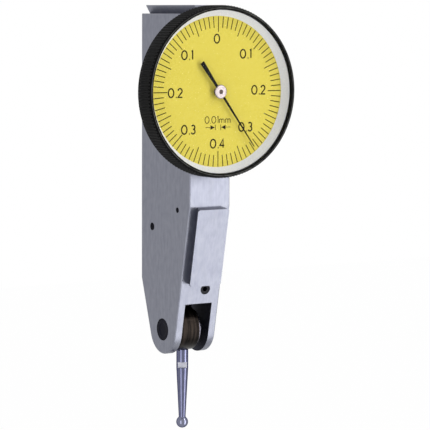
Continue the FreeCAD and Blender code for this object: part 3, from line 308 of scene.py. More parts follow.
def merged(node):
    """Mesh of a CAD node with its loose triangles joined and its flat faces made whole."""
    work = bmesh.new()
    work.from_mesh(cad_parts[node].data)
    bmesh.ops.remove_doubles(work, verts=work.verts, dist=JOIN_GAP * MM)
    bmesh.ops.dissolve_limit(work, angle_limit=math.radians(FLAT_ANGLE), verts=work.verts,
                             edges=work.edges)
    mesh = bpy.data.meshes.new(node + "_eased")
    work.to_mesh(mesh)
    work.free()
    return mesh


hard_chrome, shader = finish("hard_chrome", seen(125, 127, 138), 0.42)
lines = grain(shader, 3.6, (1, 1, 0.06), 4.0)
clouds = grain(shader, 1.3, (1, 1, 0.5), 3.0)
shade(shader, blended(shader, lines, clouds, 0.5), seen(118, 120, 132), seen(134, 136, 146))
spread(shader, lines, "Roughness", 0.38, 0.46)
relief(shader, lines, 0.0016)
body = piece("body_block", merged("housing"), hard_chrome, "body", ["housing"])
# Painted shade: the inner walls of the hollow and the fork get a near-black metal that stands in for
# the shade inside the slot.
slot_shade = worked("unpolished_slot", seen(46, 47, 58), 0.55,
                    (seen(38, 39, 50), seen(54, 55, 67)), (0.5, 0.65), 2.0, height=0.003)
body.data.materials.append(slot_shade)
inner = max(abs(corner.x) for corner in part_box("housing")) - WALL * MM
# The sideways-facing walls inside the outer walls take the painted shade.
for face in body.data.polygons:
    if abs(face.center.x) < inner + 0.01 * MM and abs(face.normal.x) > 0.9:
        face.material_index = 1

# Screws in the body: two slotted set screws in the left face, for the movement and the
# sector's pivot, and the socket screw in the bridge over the slot. All are blackened steel.
SCREW_EDGE = 0.04

black_steel = worked("black_steel", seen(16, 16, 22), 0.36, (seen(12, 12, 18), seen(26, 26, 34)),
                     (0.28, 0.42), 3.0, height=0.002, metallic=0.0, shine=0.12)
for name, node in (("movement_screw_end", "frame_screw"), ("sector_screw_end", "sector_pivot_screw"),
                   ("bridge_lock_screw", "bridge_screw")):
    piece(name, merged(node), black_steel, "body", [node], bevel=SCREW_EDGE)

# Bezel: a turned aluminium rim, knurled round its outside and anodised black, that snaps over
# the dial case and is turned by hand to set zero. A fine groove runs round its lip; its front
# faces carry a painted highlight, a lighter grey metal where the groove's edges catch the light.
BEZEL_STEPS = 312
LIP_STEP_R = 13.56
LIP_STEP = 0.07
KNURL_BARS = 156
KNURL_BAR = 0.26
KNURL_SHORT = 0.76      # how much shorter than the bezel the knurl is
KNURL_BACK = 0.04       # how far behind the bezel's middle it sits
GLASS_FIT = 0.01
CASE_FIT = 0.09
LIP_CHAMFER = 0.12
RIM_EDGE = 0.26         # chamfer from the front and back faces
BEAD_DEEP = 0.13        # plain beads before and behind the knurl, below its crests
GROUND_DEEP = 0.17      # ground of the knurl, below its crests
GROUND_FROM = 0.4
GROUND_TO = 0.3
BEAD_BACK = 0.16
RIM_EASE = 0.035
BACKWARD = (0, 1, 0)

bezel_low, bezel_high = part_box("bezel")
case_low, case_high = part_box("dial_case")
BEZEL_R = (bezel_high.x - bezel_low.x) / 2 / MM
BEZEL_FRONT = (bezel_low.y - DIAL.y) / MM
BEZEL_REAR = (bezel_high.y - DIAL.y) / MM
CASE_R = (case_high.x - case_low.x) / 2 / MM
GLASS_R = (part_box("crystal")[1].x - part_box("crystal")[0].x) / 2 / MM
PLATE_BACK = (dial_high.y - DIAL.y) / MM


def eased(outline, size, closed=True):
    """Outline with each corner drawn as a short curve; ends of an open outline stay."""
    points = [Vector(p) for p in outline]
    count = len(points)
    result = []
    for k, corner in enumerate(points):
        if not closed and k in (0, count - 1):
            result.append(tuple(corner))
            continue
        before, after = points[k - 1] - corner, points[(k + 1) % count] - corner
        cut = min(size, before.length * 0.45, after.length * 0.45)
        start = corner + before.normalized() * cut
        end = corner + after.normalized() * cut
        for step in range(4):
            t = step / 3
            result.append(tuple(start * (1 - t) ** 2 + corner * 2 * t * (1 - t) + end * t ** 2))
    return result


def turned(name, outline, axis, origin, steps=96, closed=False):
    """Lathe mesh of (radius, along) points in millimetres; radius 0 makes a pole."""
    along = Vector(axis)
    first = Vector((0, 0, 1)) if abs(along.z) < 0.5 else Vector((1, 0, 0))
    second = along.cross(first)
    work = bmesh.new()
    rings = []
    for radius, distance in outline:
        middle = Vector(origin) + along * distance * MM
        if radius < 1e-6:
            rings.append([work.verts.new(middle)])
            continue
        ring = []
        for k in range(steps):
            angle = 2 * math.pi * k / steps
            ring.append(work.verts.new(middle + (first * math.cos(angle)
                                                 + second * math.sin(angle)) * radius * MM))
        rings.append(ring)
    pairs = list(zip(rings, rings[1:]))
    if closed:
        pairs.append((rings[-1], rings[0]))
    for one, two in pairs:
        for k in range(steps):
            n = (k + 1) % steps
            corners = [one[k % len(one)], one[n % len(one)], two[n % len(two)], two[k % len(two)]]
            corners = [c for i, c in enumerate(corners) if c not in corners[:i]]
            if len(corners) > 2:
                work.faces.new(corners)
    bmesh.ops.recalc_face_normals(work, faces=work.faces)
    mesh = bpy.data.meshes.new(name)
    work.to_mesh(mesh)
    work.free()
    return mesh


def ring_of_bars_tree():
    """Geometry Nodes: bars set round the dial's axis, all of them or every so many."""
    tree = bpy.data.node_groups.new("ring_of_bars", "GeometryNodeTree")
    face = tree.interface
    for label, kind in (("Count", "NodeSocketInt"), ("Every", "NodeSocketInt"),
                        ("Others", "NodeSocketBool"), ("Reach", "NodeSocketFloat"),
                        ("Bar Size", "NodeSocketVector"), ("Bar Turn", "NodeSocketFloat"),
                        ("Centre", "NodeSocketVector"), ("Finish", "NodeSocketMaterial")):
        face.new_socket(label, in_out="INPUT", socket_type=kind)
    face.new_socket("Geometry", in_out="OUTPUT", socket_type="NodeSocketGeometry")
    new, link = tree.nodes.new, tree.links.new
    given = new("NodeGroupInput")
    points = new("GeometryNodeMeshLine")
    points.inputs["Offset"].default_value = (0, 0, 0)
    link(given.outputs["Count"], points.inputs["Count"])
    index = new("GeometryNodeInputIndex")
    left_over = new("ShaderNodeMath")
    left_over.operation = "MODULO"
    link(index.outputs[0], left_over.inputs[0])
    link(given.outputs["Every"], left_over.inputs[1])
    picked = new("ShaderNodeMath")
    picked.operation = "LESS_THAN"
    picked.inputs[1].default_value = 0.5
    link(left_over.outputs[0], picked.inputs[0])
    chosen = new("FunctionNodeBooleanMath")
    chosen.operation = "XOR"
    link(picked.outputs[0], chosen.inputs[0])
    link(given.outputs["Others"], chosen.inputs[1])
    bar = new("GeometryNodeMeshCube")
    link(given.outputs["Bar Size"], bar.inputs["Size"])
    lean = new("ShaderNodeCombineXYZ")
    link(given.outputs["Bar Turn"], lean.inputs["Y"])
    reach = new("ShaderNodeCombineXYZ")
    link(given.outputs["Reach"], reach.inputs["Z"])
    out = new("GeometryNodeTransform")
    link(bar.outputs["Mesh"], out.inputs["Geometry"])
    link(reach.outputs[0], out.inputs["Translation"])
    link(lean.outputs[0], out.inputs["Rotation"])
    pitch = new("ShaderNodeMath")
    pitch.operation = "DIVIDE"
    pitch.inputs[0].default_value = 2 * math.pi
    link(given.outputs["Count"], pitch.inputs[1])
    turn = new("ShaderNodeMath")
    turn.operation = "MULTIPLY"
    link(index.outputs[0], turn.inputs[0])
    link(pitch.outputs[0], turn.inputs[1])
    around = new("ShaderNodeCombineXYZ")
    link(turn.outputs[0], around.inputs["Y"])
    bars = new("GeometryNodeInstanceOnPoints")
    link(points.outputs[0], bars.inputs["Points"])
    link(chosen.outputs[0], bars.inputs["Selection"])
    link(out.outputs[0], bars.inputs["Instance"])
    link(around.outputs[0], bars.inputs["Rotation"])
    real = new("GeometryNodeRealizeInstances")
    link(bars.outputs[0], real.inputs[0])
    placed = new("GeometryNodeTransform")
    link(real.outputs[0], placed.inputs["Geometry"])
    link(given.outputs["Centre"], placed.inputs["Translation"])
    dressed = new("GeometryNodeSetMaterial")
    link(placed.outputs[0], dressed.inputs["Geometry"])
    link(given.outputs["Finish"], dressed.inputs["Material"])
    result = new("NodeGroupOutput")
    link(dressed.outputs[0], result.inputs["Geometry"])
    return tree


def ring_of_bars(name, tree, **values):
    """Mesh of one ring of bars from the tree."""
    mesh = bpy.data.meshes.new(name)
    obj = bpy.data.objects.new(name + "_maker", mesh)
    bpy.context.scene.collection.objects.link(obj)
    modifier = obj.modifiers.new("ring", "NODES")
    modifier.node_group = tree
    for item in tree.interface.items_tree:
        key = item.name.replace(" ", "_").lower()
        if item.in_out == "INPUT" and key in values:
            modifier[item.identifier] = values[key]
    graph = bpy.context.evaluated_depsgraph_get()
    mesh = bpy.data.meshes.new_from_object(obj.evaluated_get(graph), depsgraph=graph)
    bpy.data.objects.remove(obj)
    mesh.name = name
    return mesh


black_rim = worked("black_rim", seen(10, 10, 10), 0.42, (seen(5, 5, 5), seen(15, 15, 15)),
                   (0.34, 0.5), 1.6, detail=4.0, height=0.004, metallic=0.0, shine=0.05)
rim_bore = GLASS_R + GLASS_FIT
rim_outline = [(rim_bore, PLATE_BACK), (rim_bore, BEZEL_FRONT + LIP_CHAMFER),
               (rim_bore + LIP_CHAMFER, BEZEL_FRONT), (LIP_STEP_R - LIP_STEP, BEZEL_FRONT),
               (LIP_STEP_R, BEZEL_FRONT + LIP_STEP), (LIP_STEP_R + LIP_STEP, BEZEL_FRONT),
               (BEZEL_R - RIM_EDGE, BEZEL_FRONT), (BEZEL_R - BEAD_DEEP, BEZEL_FRONT + RIM_EDGE),
               (BEZEL_R - GROUND_DEEP, BEZEL_FRONT + GROUND_FROM),
               (BEZEL_R - GROUND_DEEP, BEZEL_REAR - GROUND_TO),
               (BEZEL_R - BEAD_DEEP, BEZEL_REAR - BEAD_BACK), (BEZEL_R - RIM_EDGE, BEZEL_REAR),
               (CASE_R + CASE_FIT, BEZEL_REAR), (CASE_R + CASE_FIT, PLATE_BACK)]
rim_mesh = turned("bezel_rim", eased(rim_outline, RIM_EASE), BACKWARD, DIAL, BEZEL_STEPS, True)
rim = piece("bezel_rim", rim_mesh, black_rim, "bezel", ["bezel"])
# Painted highlight: a lighter grey metal for the front faces of the lip's groove, standing in for the
# light that its edges catch.
worn_edge = worked("worn_edge", seen(70, 70, 68), 0.36, (seen(44, 44, 43), seen(88, 88, 85)),
                   (0.3, 0.45), 1.2, detail=4.0, height=0.002)
rim.data.materials.append(worn_edge)
# The front faces of the groove round the lip take the painted highlight.
for face in rim.data.polygons:
    radius = math.hypot(face.center.x - DIAL.x, face.center.z - DIAL.z) / MM
    if face.normal.y < -0.2 and abs(radius - LIP_STEP_R) < LIP_STEP:
        face.material_index = 1
bars = ring_of_bars_tree()
knurl_length = BEZEL_REAR - BEZEL_FRONT - KNURL_SHORT
knurl = ring_of_bars("bezel_knurl", bars, count=KNURL_BARS, every=1, others=False,
                     reach=(BEZEL_R - KNURL_BAR / math.sqrt(2)) * MM,
                     bar_size=(KNURL_BAR * MM, knurl_length * MM, KNURL_BAR * MM),
                     bar_turn=math.pi / 4, finish=black_rim,
                     centre=row(0, (BEZEL_FRONT + BEZEL_REAR) / 2 + KNURL_BACK, 0))
piece("bezel_knurl", knurl, black_rim, "bezel")

# Cone: a thin ring between crystal and dial, turned and enamelled satin white, that throws
# light on the graduation. It is cemented in the bezel and turns with it.
CONE_FRONT = (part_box("reflector_ring")[0].y - DIAL.y) / MM
CONE_WIDE = 0.98
CONE_INNER_R = GLASS_R - CONE_WIDE
CONE_THICK = 0.05
CONE_GAP = 0.01
CONE_LEAN = 0.03
CONE_EASE = 0.02
ROUND_STEPS = 192

white_ring = worked("white_ring", seen(239, 241, 249), 0.45,
                    (seen(235, 237, 246), seen(243, 245, 251)), (0.4, 0.52), 4.0, height=0.002,
                    metallic=0.0, shine=0.3)
cone_outline = [(CONE_INNER_R, -CONE_GAP), (GLASS_R, 0), (GLASS_R, CONE_FRONT + 2 * CONE_GAP),
                (GLASS_R - CONE_THICK, CONE_FRONT + CONE_GAP),
                (CONE_INNER_R + CONE_LEAN, -CONE_THICK)]
cone_mesh = turned("light_cone", eased(cone_outline, CONE_EASE), BACKWARD, DIAL, ROUND_STEPS, True)
piece("light_cone", cone_mesh, white_ring, "bezel", ["reflector_ring"])

# Crystal: a flat disc of clear acrylic with a small polished chamfer round its front, pressed
# into the bezel's bore, so that it turns with the bezel.
glass_low, glass_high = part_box("crystal")
GLASS_FRONT = (glass_low.y - DIAL.y) / MM
GLASS_BACK = (glass_high.y - DIAL.y) / MM
GLASS_CHAMFER = 0.07

clear, shader = finish("clear_crystal", (0.05, 0.055, 0.06, 1), 0.05, 0.0, 0.1)
shader.inputs["Alpha"].default_value = 0.04
shader.inputs["IOR"].default_value = 1.3
haze = grain(shader, 0.4, (1, 1, 1), 2.0)
spread(shader, haze, "Roughness", 0.03, 0.07)
glass_edge = GLASS_R - GLASS_FIT
glass_outline = [(0, GLASS_FRONT), (glass_edge - GLASS_CHAMFER, GLASS_FRONT),
                 (glass_edge, GLASS_FRONT + GLASS_CHAMFER), (glass_edge, GLASS_BACK), (0, GLASS_BACK)]
piece("window", turned("window", glass_outline, BACKWARD, DIAL, ROUND_STEPS), clear, "bezel",
      ["crystal"])

# Dial: a brass disc lacquered matt yellow, with its scale and figures printed in dark brown.
# Eighty lines, every fifth one long; figures run both ways from 0 to 0.4.
PLATE_HOLE_R = 0.8
PLATE_EASE = 0.03
SCALE_R = 12.2
SCALE_LINES = 80
LONG_EVERY = 5
SCALE_LONG = 2.55
SCALE_SHORT = 1.87
LINE_WIDTH = 0.14
INK = 0.012
FIGURE_HEIGHT = 1.62
FIGURE_STROKE = 0.23
FIGURE_GAP = 0.16       # between two signs, as a share of their height
FIGURES = (("0", -0.2, 8.57), ("0.1", 5.35, 6.1), ("0.1", -5.85, 5.95), ("0.2", 7.9, 0.18),
           ("0.2", -8.05, -0.1), ("0.3", 5.35, -5.85), ("0.3", -5.6, -6.05), ("0.4", -0.05, -8.44))
UNIT_HEIGHT = 1.2
UNIT_STROKE = 0.12
UNIT_GAP = 0.14
UNIT_PLACE = (-0.03, -4.56)
ARROW_Z = -5.8
ARROW_TIP = 0.62
ARROW_BASE = 1.45
ARROW_END = 2.4
ARROW_HALF = 0.38
ARROW_BAR = 0.85        # place of the upright bar, as a share of the tip's
ARROW_BAR_HALF = 0.45
ARROW_BAR_WIDTH = 0.1
ARROW_LINE_WIDTH = 0.09

yellow = worked("yellow_dial", seen(230, 213, 90), 0.6, (seen(226, 208, 82), seen(234, 218, 98)),
                (0.55, 0.68), 3.5, detail=4.0, metallic=0.0, shine=0.05, span=(0.3, 0.7))
ink = worked("dark_ink", seen(36, 28, 14), 0.5, (seen(28, 22, 10), seen(46, 36, 18)), (0.4, 0.6),
             6.0, detail=2.0, metallic=0.0, shine=0.05)
plate_outline = [(PLATE_HOLE_R, 0), (GLASS_R, 0), (GLASS_R, PLATE_BACK), (PLATE_HOLE_R, PLATE_BACK)]
plate_mesh = turned("dial_disc", eased(plate_outline, PLATE_EASE), BACKWARD, DIAL, ROUND_STEPS, True)
piece("dial_disc", plate_mesh, yellow, "bezel", ["dial_plate"])
for name, others, length in (("long_lines", False, SCALE_LONG), ("short_lines", True, SCALE_SHORT)):
    lines = ring_of_bars(name, bars, count=SCALE_LINES, every=LONG_EVERY, others=others,
                         reach=(SCALE_R - length / 2) * MM,
                         bar_size=(LINE_WIDTH * MM, INK * MM, length * MM), bar_turn=0.0,
                         finish=ink, centre=row(0, -INK / 2, 0))
    piece(name, lines, ink, "bezel")


def ribbon(work, points, width, closed=False):
    """Flat stroke of ink along (x, z) points on the dial."""
    path = [Vector((x, z)) for x, z in points]
    count = len(path)
    sides = []
    for k, point in enumerate(path):
        before = path[k - 1] if closed or k else point
        after = path[(k + 1) % count] if closed or k < count - 1 else point
        ahead = ((point - before).normalized() + (after - point).normalized()).normalized()
        across = Vector((-ahead.y, ahead.x))
        lean = (after - point if (after - point).length else point - before).normalized()
        widen = 1 / max(0.5, abs(ahead.dot(lean)))
        sides.append((point + across * width / 2 * widen, point - across * width / 2 * widen))
    front = [[work.verts.new(row(p.x, -INK, p.y)) for p in pair] for pair in sides]
    back = [[work.verts.new(row(p.x, 0.0, p.y)) for p in pair] for pair in sides]
    last = count if closed else count - 1
    for k in range(last):
        n = (k + 1) % count
        work.faces.new((front[k][0], front[k][1], front[n][1], front[n][0]))
        work.faces.new((back[n][0], back[n][1], back[k][1], back[k][0]))
        work.faces.new((front[n][0], back[n][0], back[k][0], front[k][0]))
        work.faces.new((front[k][1], back[k][1], back[n][1], front[n][1]))
    if not closed:
        work.faces.new((front[0][0], back[0][0], back[0][1], front[0][1]))
        work.faces.new((front[-1][1], back[-1][1], back[-1][0], front[-1][0]))


def bow(x, z, rx, rz, start, end, steps=20):
    """Points on an oval from one angle to another, in degrees from the right."""
    turns = [math.radians(start + (end - start) * k / steps) for k in range(steps + 1)]
    return [(x + rx * math.cos(t), z + rz * math.sin(t)) for t in turns]


def glyph(sign):
    """Strokes of one sign one unit high, as (points, closed), and its width."""
    if sign == "0":
        return [(bow(0.36, 0.5, 0.36, 0.5, 0, 351, 39), True)], 0.72
    if sign == "1":
        return [([(0.02, 0.93), (0.17, 1.0), (0.17, 0.0)], False)], 0.22
    if sign == "2":
        return [(bow(0.27, 0.72, 0.27, 0.28, 172, -32, 18) + [(0.0, 0.0), (0.58, 0.0)], False)], 0.58
    if sign == "3":
        return [(bow(0.26, 0.76, 0.23, 0.24, 150, -90, 18), False),
                (bow(0.25, 0.27, 0.27, 0.27, 90, -155, 18), False)], 0.52
    if sign == "4":
        return [([(0.44, 0.0), (0.44, 1.0), (0.0, 0.27), (0.6, 0.27)], False)], 0.6
    if sign == "m":
        return [([(0.0, 0.0), (0.0, 0.6)], False),
                (bow(0.21, 0.4, 0.21, 0.2, 180, 0, 10) + [(0.42, 0.0)], False),
                (bow(0.63, 0.4, 0.21, 0.2, 180, 0, 10) + [(0.84, 0.0)], False)], 0.84
    return [([(-0.01, 0.0), (0.09, 0.0)], False)], 0.08


def wording(work, words, x, z, height, width, gap):
    """Words in thin strokes, centred on a point of the dial."""
    signs = [glyph(s) for s in words]
    total = sum(w for _, w in signs) + gap * (len(signs) - 1)
    left = x - total * height / 2
    bottom = z - height / 2
    inner = height - width
    for strokes, wide in signs:
        for points, closed in strokes:
            ribbon(work, [(left + px * inner, bottom + width / 2 + pz * inner) for px, pz in points],
                   width, closed)
        left += (wide + gap) * height


printing = bmesh.new()
for words, x, z in FIGURES:
    wording(printing, words, x, z, FIGURE_HEIGHT, FIGURE_STROKE, FIGURE_GAP)
wording(printing, "0.01mm", *UNIT_PLACE, UNIT_HEIGHT, UNIT_STROKE, UNIT_GAP)
for side in (-1, 1):
    bar_x = side * ARROW_TIP * ARROW_BAR
    ribbon(printing, [(bar_x, ARROW_Z - ARROW_BAR_HALF), (bar_x, ARROW_Z + ARROW_BAR_HALF)],
           ARROW_BAR_WIDTH)
    ribbon(printing, [(side * ARROW_BASE, ARROW_Z), (side * ARROW_END, ARROW_Z)], ARROW_LINE_WIDTH)
    tip = [row(side * ARROW_TIP, -INK, ARROW_Z), row(side * ARROW_BASE, -INK, ARROW_Z + ARROW_HALF),
           row(side * ARROW_BASE, -INK, ARROW_Z - ARROW_HALF)]
    under = [p + Vector((0, INK * MM, 0)) for p in tip]
    front = [printing.verts.new(p) for p in tip]
    back_side = [printing.verts.new(p) for p in under]
    printing.faces.new(front)
    printing.faces.new(back_side[::-1])
    for k in range(3):
        n = (k + 1) % 3
        printing.faces.new((front[k], back_side[k], back_side[n], front[n]))
bmesh.ops.recalc_face_normals(printing, faces=printing.faces)
print_mesh = bpy.data.meshes.new("figures")
printing.to_mesh(print_mesh)
printing.free()
piece("figures", print_mesh, ink, "bezel")

# Pointer: a blade punched from thin aluminium and painted matt black, slim towards the scale
# and widening in the tail that balances it, staked under a turned hub on the arbor.
POINTER_TURN = math.radians(143.9)
POINTER_FRONT = (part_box("pointer")[0].y - DIAL.y) / MM
POINTER_BACK = (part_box("pointer")[1].y - DIAL.y) / MM
HUB_FRONT = (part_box("pointer_hub")[0].y - DIAL.y) / MM
HUB_R = (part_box("pointer_hub")[1].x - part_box("pointer_hub")[0].x) / 2 / MM
HUB_EDGE = 0.1
HUB_FLAT = 0.12         # how far inside its edge the hub's front face ends
HUB_BACK = -0.3
HUB_BORE_R = 0.6
HUB_STEPS = 72
SMALL_EASE = 0.03
BLADE_BEVEL = 0.02

matt_black = worked("matt_black", seen(8, 8, 8), 0.55, (seen(4, 4, 4), seen(12, 12, 12)),
                    (0.48, 0.62), 5.0, height=0.002, metallic=0.0, shine=0.08)
hub_metal = worked("hub_metal", seen(148, 138, 138), 0.4,
                   (seen(140, 130, 131), seen(155, 146, 146)), (0.26, 0.4), 3.0, height=0.002)


def blade_point(side, reach):
    """A point beside the pointer's middle line, at rest."""
    return (side * math.cos(POINTER_TURN) + reach * math.sin(POINTER_TURN),
            reach * math.cos(POINTER_TURN) - side * math.sin(POINTER_TURN))


half_blade = [(0.07, 11.12), (0.2, 1.2), (0.7, 0.75), (0.98, 0.2), (0.98, -0.2), (0.7, -0.75),
              (0.225, -1.1), (0.39, -5.9)]
blade = [(0.0, 11.28)] + half_blade + [(-s, r) for s, r in reversed(half_blade)]
blade = [Vector(blade_point(s, r)) for s, r in blade]
work = bmesh.new()
front = [work.verts.new(row(p.x, POINTER_FRONT, p.y)) for p in blade]
rear = [work.verts.new(row(p.x, POINTER_BACK, p.y)) for p in blade]
work.faces.new(front)
work.faces.new(rear[::-1])
for k in range(len(blade)):
    n = (k + 1) % len(blade)
    work.faces.new((front[k], rear[k], rear[n], front[n]))
bmesh.ops.recalc_face_normals(work, faces=work.faces)
blade_mesh = bpy.data.meshes.new("pointer_blade")
work.to_mesh(blade_mesh)
work.free()
piece("pointer_blade", blade_mesh, matt_black, "pointer", ["pointer"],
      bevel=BLADE_BEVEL)
dimple = [(0, HUB_FRONT + 0.1), (0.1, HUB_FRONT + 0.08), (0.17, HUB_FRONT + 0.01), (0.22, HUB_FRONT)]
hub_outline = dimple + [(HUB_R - HUB_FLAT, HUB_FRONT), (HUB_R, HUB_FRONT + HUB_EDGE),
                        (HUB_R, POINTER_FRONT - 0.01), (HUB_BORE_R, POINTER_FRONT),
                        (HUB_BORE_R, HUB_BACK), (0, HUB_BACK)]
piece("hub", turned("hub", eased(hub_outline, SMALL_EASE, False), BACKWARD, DIAL, HUB_STEPS),
      hub_metal, "pointer", ["pointer_hub"])

# Stylus carrier: a round steel block, blackened, turned on its rim and flat underneath where
# the stylus screws in. It grips the lever's shaft by friction and swivels with the stylus.
drum_low, drum_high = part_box("stylus_drum")
cap_low, cap_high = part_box("bearing_cap_left")
PIVOT = Vector((0, (cap_low.y + cap_high.y) / 2, (cap_low.z + cap_high.z) / 2))
DRUM_LEFT = drum_low.x / MM
DRUM_RIGHT = drum_high.x / MM
DRUM_R = 3.7
DRUM_FLAT_Z = drum_low.z
DRUM_BORE_R = 1.63
POCKET_R = 2.6
POCKET_DEEP = 0.6
DRUM_EASE = 0.14
DRUM_STEPS = 144
RIGHTWARD = (1, 0, 0)

black_oxide = worked("black_oxide", seen(30, 26, 23), 0.3, (seen(16, 14, 13), seen(46, 40, 36)),
                     (0.3, 0.46), 3.4, stretch=(1, 0.05, 0.05), height=0.003, span=(0.35, 0.7))
pocket_floor = DRUM_LEFT + POCKET_DEEP
drum_outline = [(DRUM_BORE_R, DRUM_RIGHT), (DRUM_R, DRUM_RIGHT), (DRUM_R, DRUM_LEFT),
                (POCKET_R, DRUM_LEFT), (POCKET_R, pocket_floor), (DRUM_BORE_R, pocket_floor)]
drum = turned("carrier", eased(drum_outline, DRUM_EASE), RIGHTWARD, PIVOT, DRUM_STEPS, True)
for vert in drum.vertices:
    vert.co.z = max(vert.co.z, DRUM_FLAT_Z)
piece("carrier", drum, black_oxide, "stylus", ["stylus_drum"])

# Lever: a ground steel cheek beside the carrier whose arm reaches up into the body and moves
# the sector by its pin; its shaft runs in a ball bearing in each ear, closed by a blued cap.
CHEEK_BEVEL = 0.05
CAP_EASE = 0.04
CAP_STEPS = 96

grey_steel = worked("grey_steel", seen(92, 90, 98), 0.36, (seen(85, 83, 92), seen(99, 97, 105)),
                    (0.22, 0.36), 2.6, stretch=(1, 1, 0.15), height=0.002)
piece("lever_cheek", merged("lever_plate"), grey_steel, "lever", ["lever_plate"],
      bevel=CHEEK_BEVEL)
blued = worked("blued_cap", seen(12, 12, 26), 0.42, (seen(8, 8, 20), seen(18, 18, 33)),
               (0.32, 0.46), 2.2, height=0.002, metallic=0.0, shine=0.04)
for side, name in ((-1, "bearing_cap_left"), (1, "bearing_cap_right")):
    cap_low, cap_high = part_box(name)
    outer = (cap_low.x if side < 0 else cap_high.x) / MM
    inner = (cap_high.x if side < 0 else cap_low.x) / MM
    radius = (cap_high.z - cap_low.z) / 2 / MM
    inward = -side
    cap_outline = [(0, outer + inward * 0.05), (radius * 0.55, outer + inward * 0.04),
                   (radius * 0.62, outer + inward * 0.01), (radius - 0.1, outer),
                   (radius, outer + inward * 0.08), (radius, inner), (0, inner)]
    cap_mesh = turned(name, eased(cap_outline, CAP_EASE, False), RIGHTWARD, PIVOT, CAP_STEPS)
    piece(name.replace("bearing", "pivot"), cap_mesh, blued, "body", [name])

# Stylus: turned from steel, hardened and chromed bright, with two flats for its small spanner
# below the shoulder and a long taper down to the neck.
stem_low, stem_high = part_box("stylus_stem")
STEM_R = (stem_high.x - stem_low.x) / 2 / MM
SHOULDER_Z = DRUM_FLAT_Z
THREAD_TOP = (stem_high.z - SHOULDER_Z) / MM
FLATS_TOP = 2.2
FLATS_END = 3.2
FLAT_HALF = 0.64
FLAT_TURN = math.radians(-30)
NECK_R = 0.57
NECK_END = 11.72
THREAD_R = 0.69
THREAD_POINT_R = 0.6
SPIGOT_R = 0.3
SPIGOT_LENGTH = 0.5
HAIR = 0.001            # two rings this close make a sharp step
STYLUS_STEPS = 72
DOWNWARD = (0, 0, -1)

chrome = worked("bright_chrome", seen(98, 100, 124), 0.11,
                (seen(92, 94, 119), seen(104, 106, 129)), (0.07, 0.14), 4.0, stretch=(1, 1, 0.3),
                height=0.0006, tint=seen(70, 70, 110))
ground = worked("ground_flats", seen(176, 177, 186), 0.5,
                (seen(168, 169, 179), seen(186, 187, 195)), (0.42, 0.58), 5.0,
                stretch=(0.2, 0.2, 1), height=0.002)
thread = [(0, -THREAD_TOP), (THREAD_POINT_R, -THREAD_TOP), (THREAD_R, 0.1 - THREAD_TOP),
          (THREAD_R, -0.02)]
flats = [(STEM_R, FLATS_TOP), (STEM_R, FLATS_TOP + HAIR), (STEM_R, FLATS_END - HAIR),
         (STEM_R, FLATS_END)]
spigot = [(SPIGOT_R, NECK_END + 0.02), (SPIGOT_R, NECK_END + SPIGOT_LENGTH),
          (0, NECK_END + SPIGOT_LENGTH)]
stem_outline = thread + [(0.9, 0.0), (STEM_R, 0.1)] + flats + [(NECK_R, NECK_END)] + spigot
shoulder = Vector((0, PIVOT.y, SHOULDER_Z))
stem = turned("stylus_shank", stem_outline, DOWNWARD, shoulder, STYLUS_STEPS)
flat_out = Vector((-math.sin(FLAT_TURN), math.cos(FLAT_TURN), 0))
for vert in stem.vertices:
    down = (SHOULDER_Z - vert.co.z) / MM
    if FLATS_TOP + HAIR / 2 < down < FLATS_END - HAIR / 2:
        across = (vert.co - Vector((0, PIVOT.y, vert.co.z))).dot(flat_out)
        limit = max(-FLAT_HALF * MM, min(FLAT_HALF * MM, across))
        vert.co += flat_out * (limit - across)
shank = piece("stylus_shank", stem, chrome, "stylus", ["stylus_stem"], round_to=25)
shank.data.materials.append(ground)
for face in shank.data.polygons:
    down = (SHOULDER_Z - face.center.z) / MM
    if FLATS_TOP < down < FLATS_END and abs(face.normal.dot(flat_out)) > 0.98:
        face.material_index = 1

# Contact ball: hard metal, ground and lapped bright, brazed over the stylus's spigot with a
# small collar of braze round the neck.
ball_low, ball_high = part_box("contact_ball")
BALL_R = (ball_high.x - ball_low.x) / 2 / MM
BALL_DOWN = (SHOULDER_Z - ball_low.z) / MM - BALL_R
COLLAR_R = 0.66         # where the braze meets the ball
COLLAR_TOP_R = 0.58
COLLAR_HEIGHT = 0.1
BALL_RINGS = 32

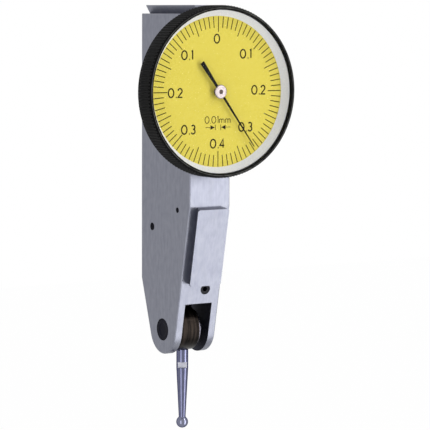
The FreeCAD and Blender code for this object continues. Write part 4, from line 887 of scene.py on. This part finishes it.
hard_metal = worked("hard_metal", seen(118, 120, 140), 0.11,
                    (seen(112, 114, 135), seen(124, 126, 145)), (0.06, 0.12), 6.0, detail=2.0,
                    height=0.0006, tint=seen(80, 80, 116))
top_angle = math.asin(COLLAR_R / BALL_R)
ball_outline = [(COLLAR_TOP_R, BALL_DOWN - BALL_R * math.cos(top_angle) - COLLAR_HEIGHT)]
for k in range(BALL_RINGS + 1):
    angle = top_angle + (math.pi - top_angle) * k / BALL_RINGS
    ball_outline.append((max(0.0, BALL_R * math.sin(angle)) if k < BALL_RINGS else 0.0,
                         BALL_DOWN - BALL_R * math.cos(angle)))
ball_outline.insert(0, (0, ball_outline[0][1]))
piece("contact_tip", turned("contact_tip", ball_outline, DOWNWARD, shoulder, STYLUS_STEPS),
      hard_metal, "stylus", ["contact_ball"], round_to=50)

# Movement and bearings inside the body: brass plates, pillars, cock, sector and crown wheel,
# steel staffs, pinions, pins and screws, a bronze hairspring, and the brass dial case in front.
# They keep their own solids, each in its metal.
bright_steel = worked("bright_steel", seen(178, 180, 190), 0.24,
                      (seen(165, 167, 178), seen(190, 192, 200)), (0.18, 0.32), 5.0, height=0.001)
brass = worked("fine_brass", seen(206, 172, 104), 0.3, (seen(190, 154, 88), seen(220, 188, 120)),
               (0.24, 0.4), 3.0, stretch=(1, 0.2, 1), height=0.002)
bronze = worked("spring_bronze", seen(190, 138, 84), 0.28,
                (seen(172, 120, 70), seen(206, 154, 98)), (0.22, 0.36), 6.0, detail=2.0,
                height=0.001)
case_metal = worked("case_metal", seen(196, 178, 130), 0.34,
                    (seen(180, 162, 114), seen(210, 192, 146)), (0.28, 0.44), 2.4, detail=4.0,
                    height=0.002)
arbor_steel = worked("arbor_steel", seen(72, 62, 58), 0.4, (seen(64, 54, 51), seen(80, 70, 65)),
                     (0.34, 0.46), 6.0, detail=2.0, height=0.001)
INSIDE = [
    (arbor_steel, ["pointer_arbor"]),
    (brass, ["pointer_bush", "hairspring_collet", "hairspring_stud", "pointer_cock",
             "movement_plate_left", "movement_plate_right", "movement_pillars",
             "crown_wheel", "sector_gear"]),
    (bronze, ["hairspring"]),
    (case_metal, ["dial_case"]),
    (bright_steel, ["dial_case_screws", "bezel_wire", "pointer_pinion", "cock_screws",
                    "movement_screws", "stop_pins", "crown_staff", "crown_pinion",
                    "sector_staff", "lever_pin", "lever_shaft", "bearing_ring_left",
                    "bearing_ring_right", "friction_washer", "friction_nut"]),
    (hard_metal, ["bearing_balls_left", "bearing_balls_right"]),
]
for material, names in INSIDE:
    for name in names:
        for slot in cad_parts[name].material_slots:
            slot.material = material
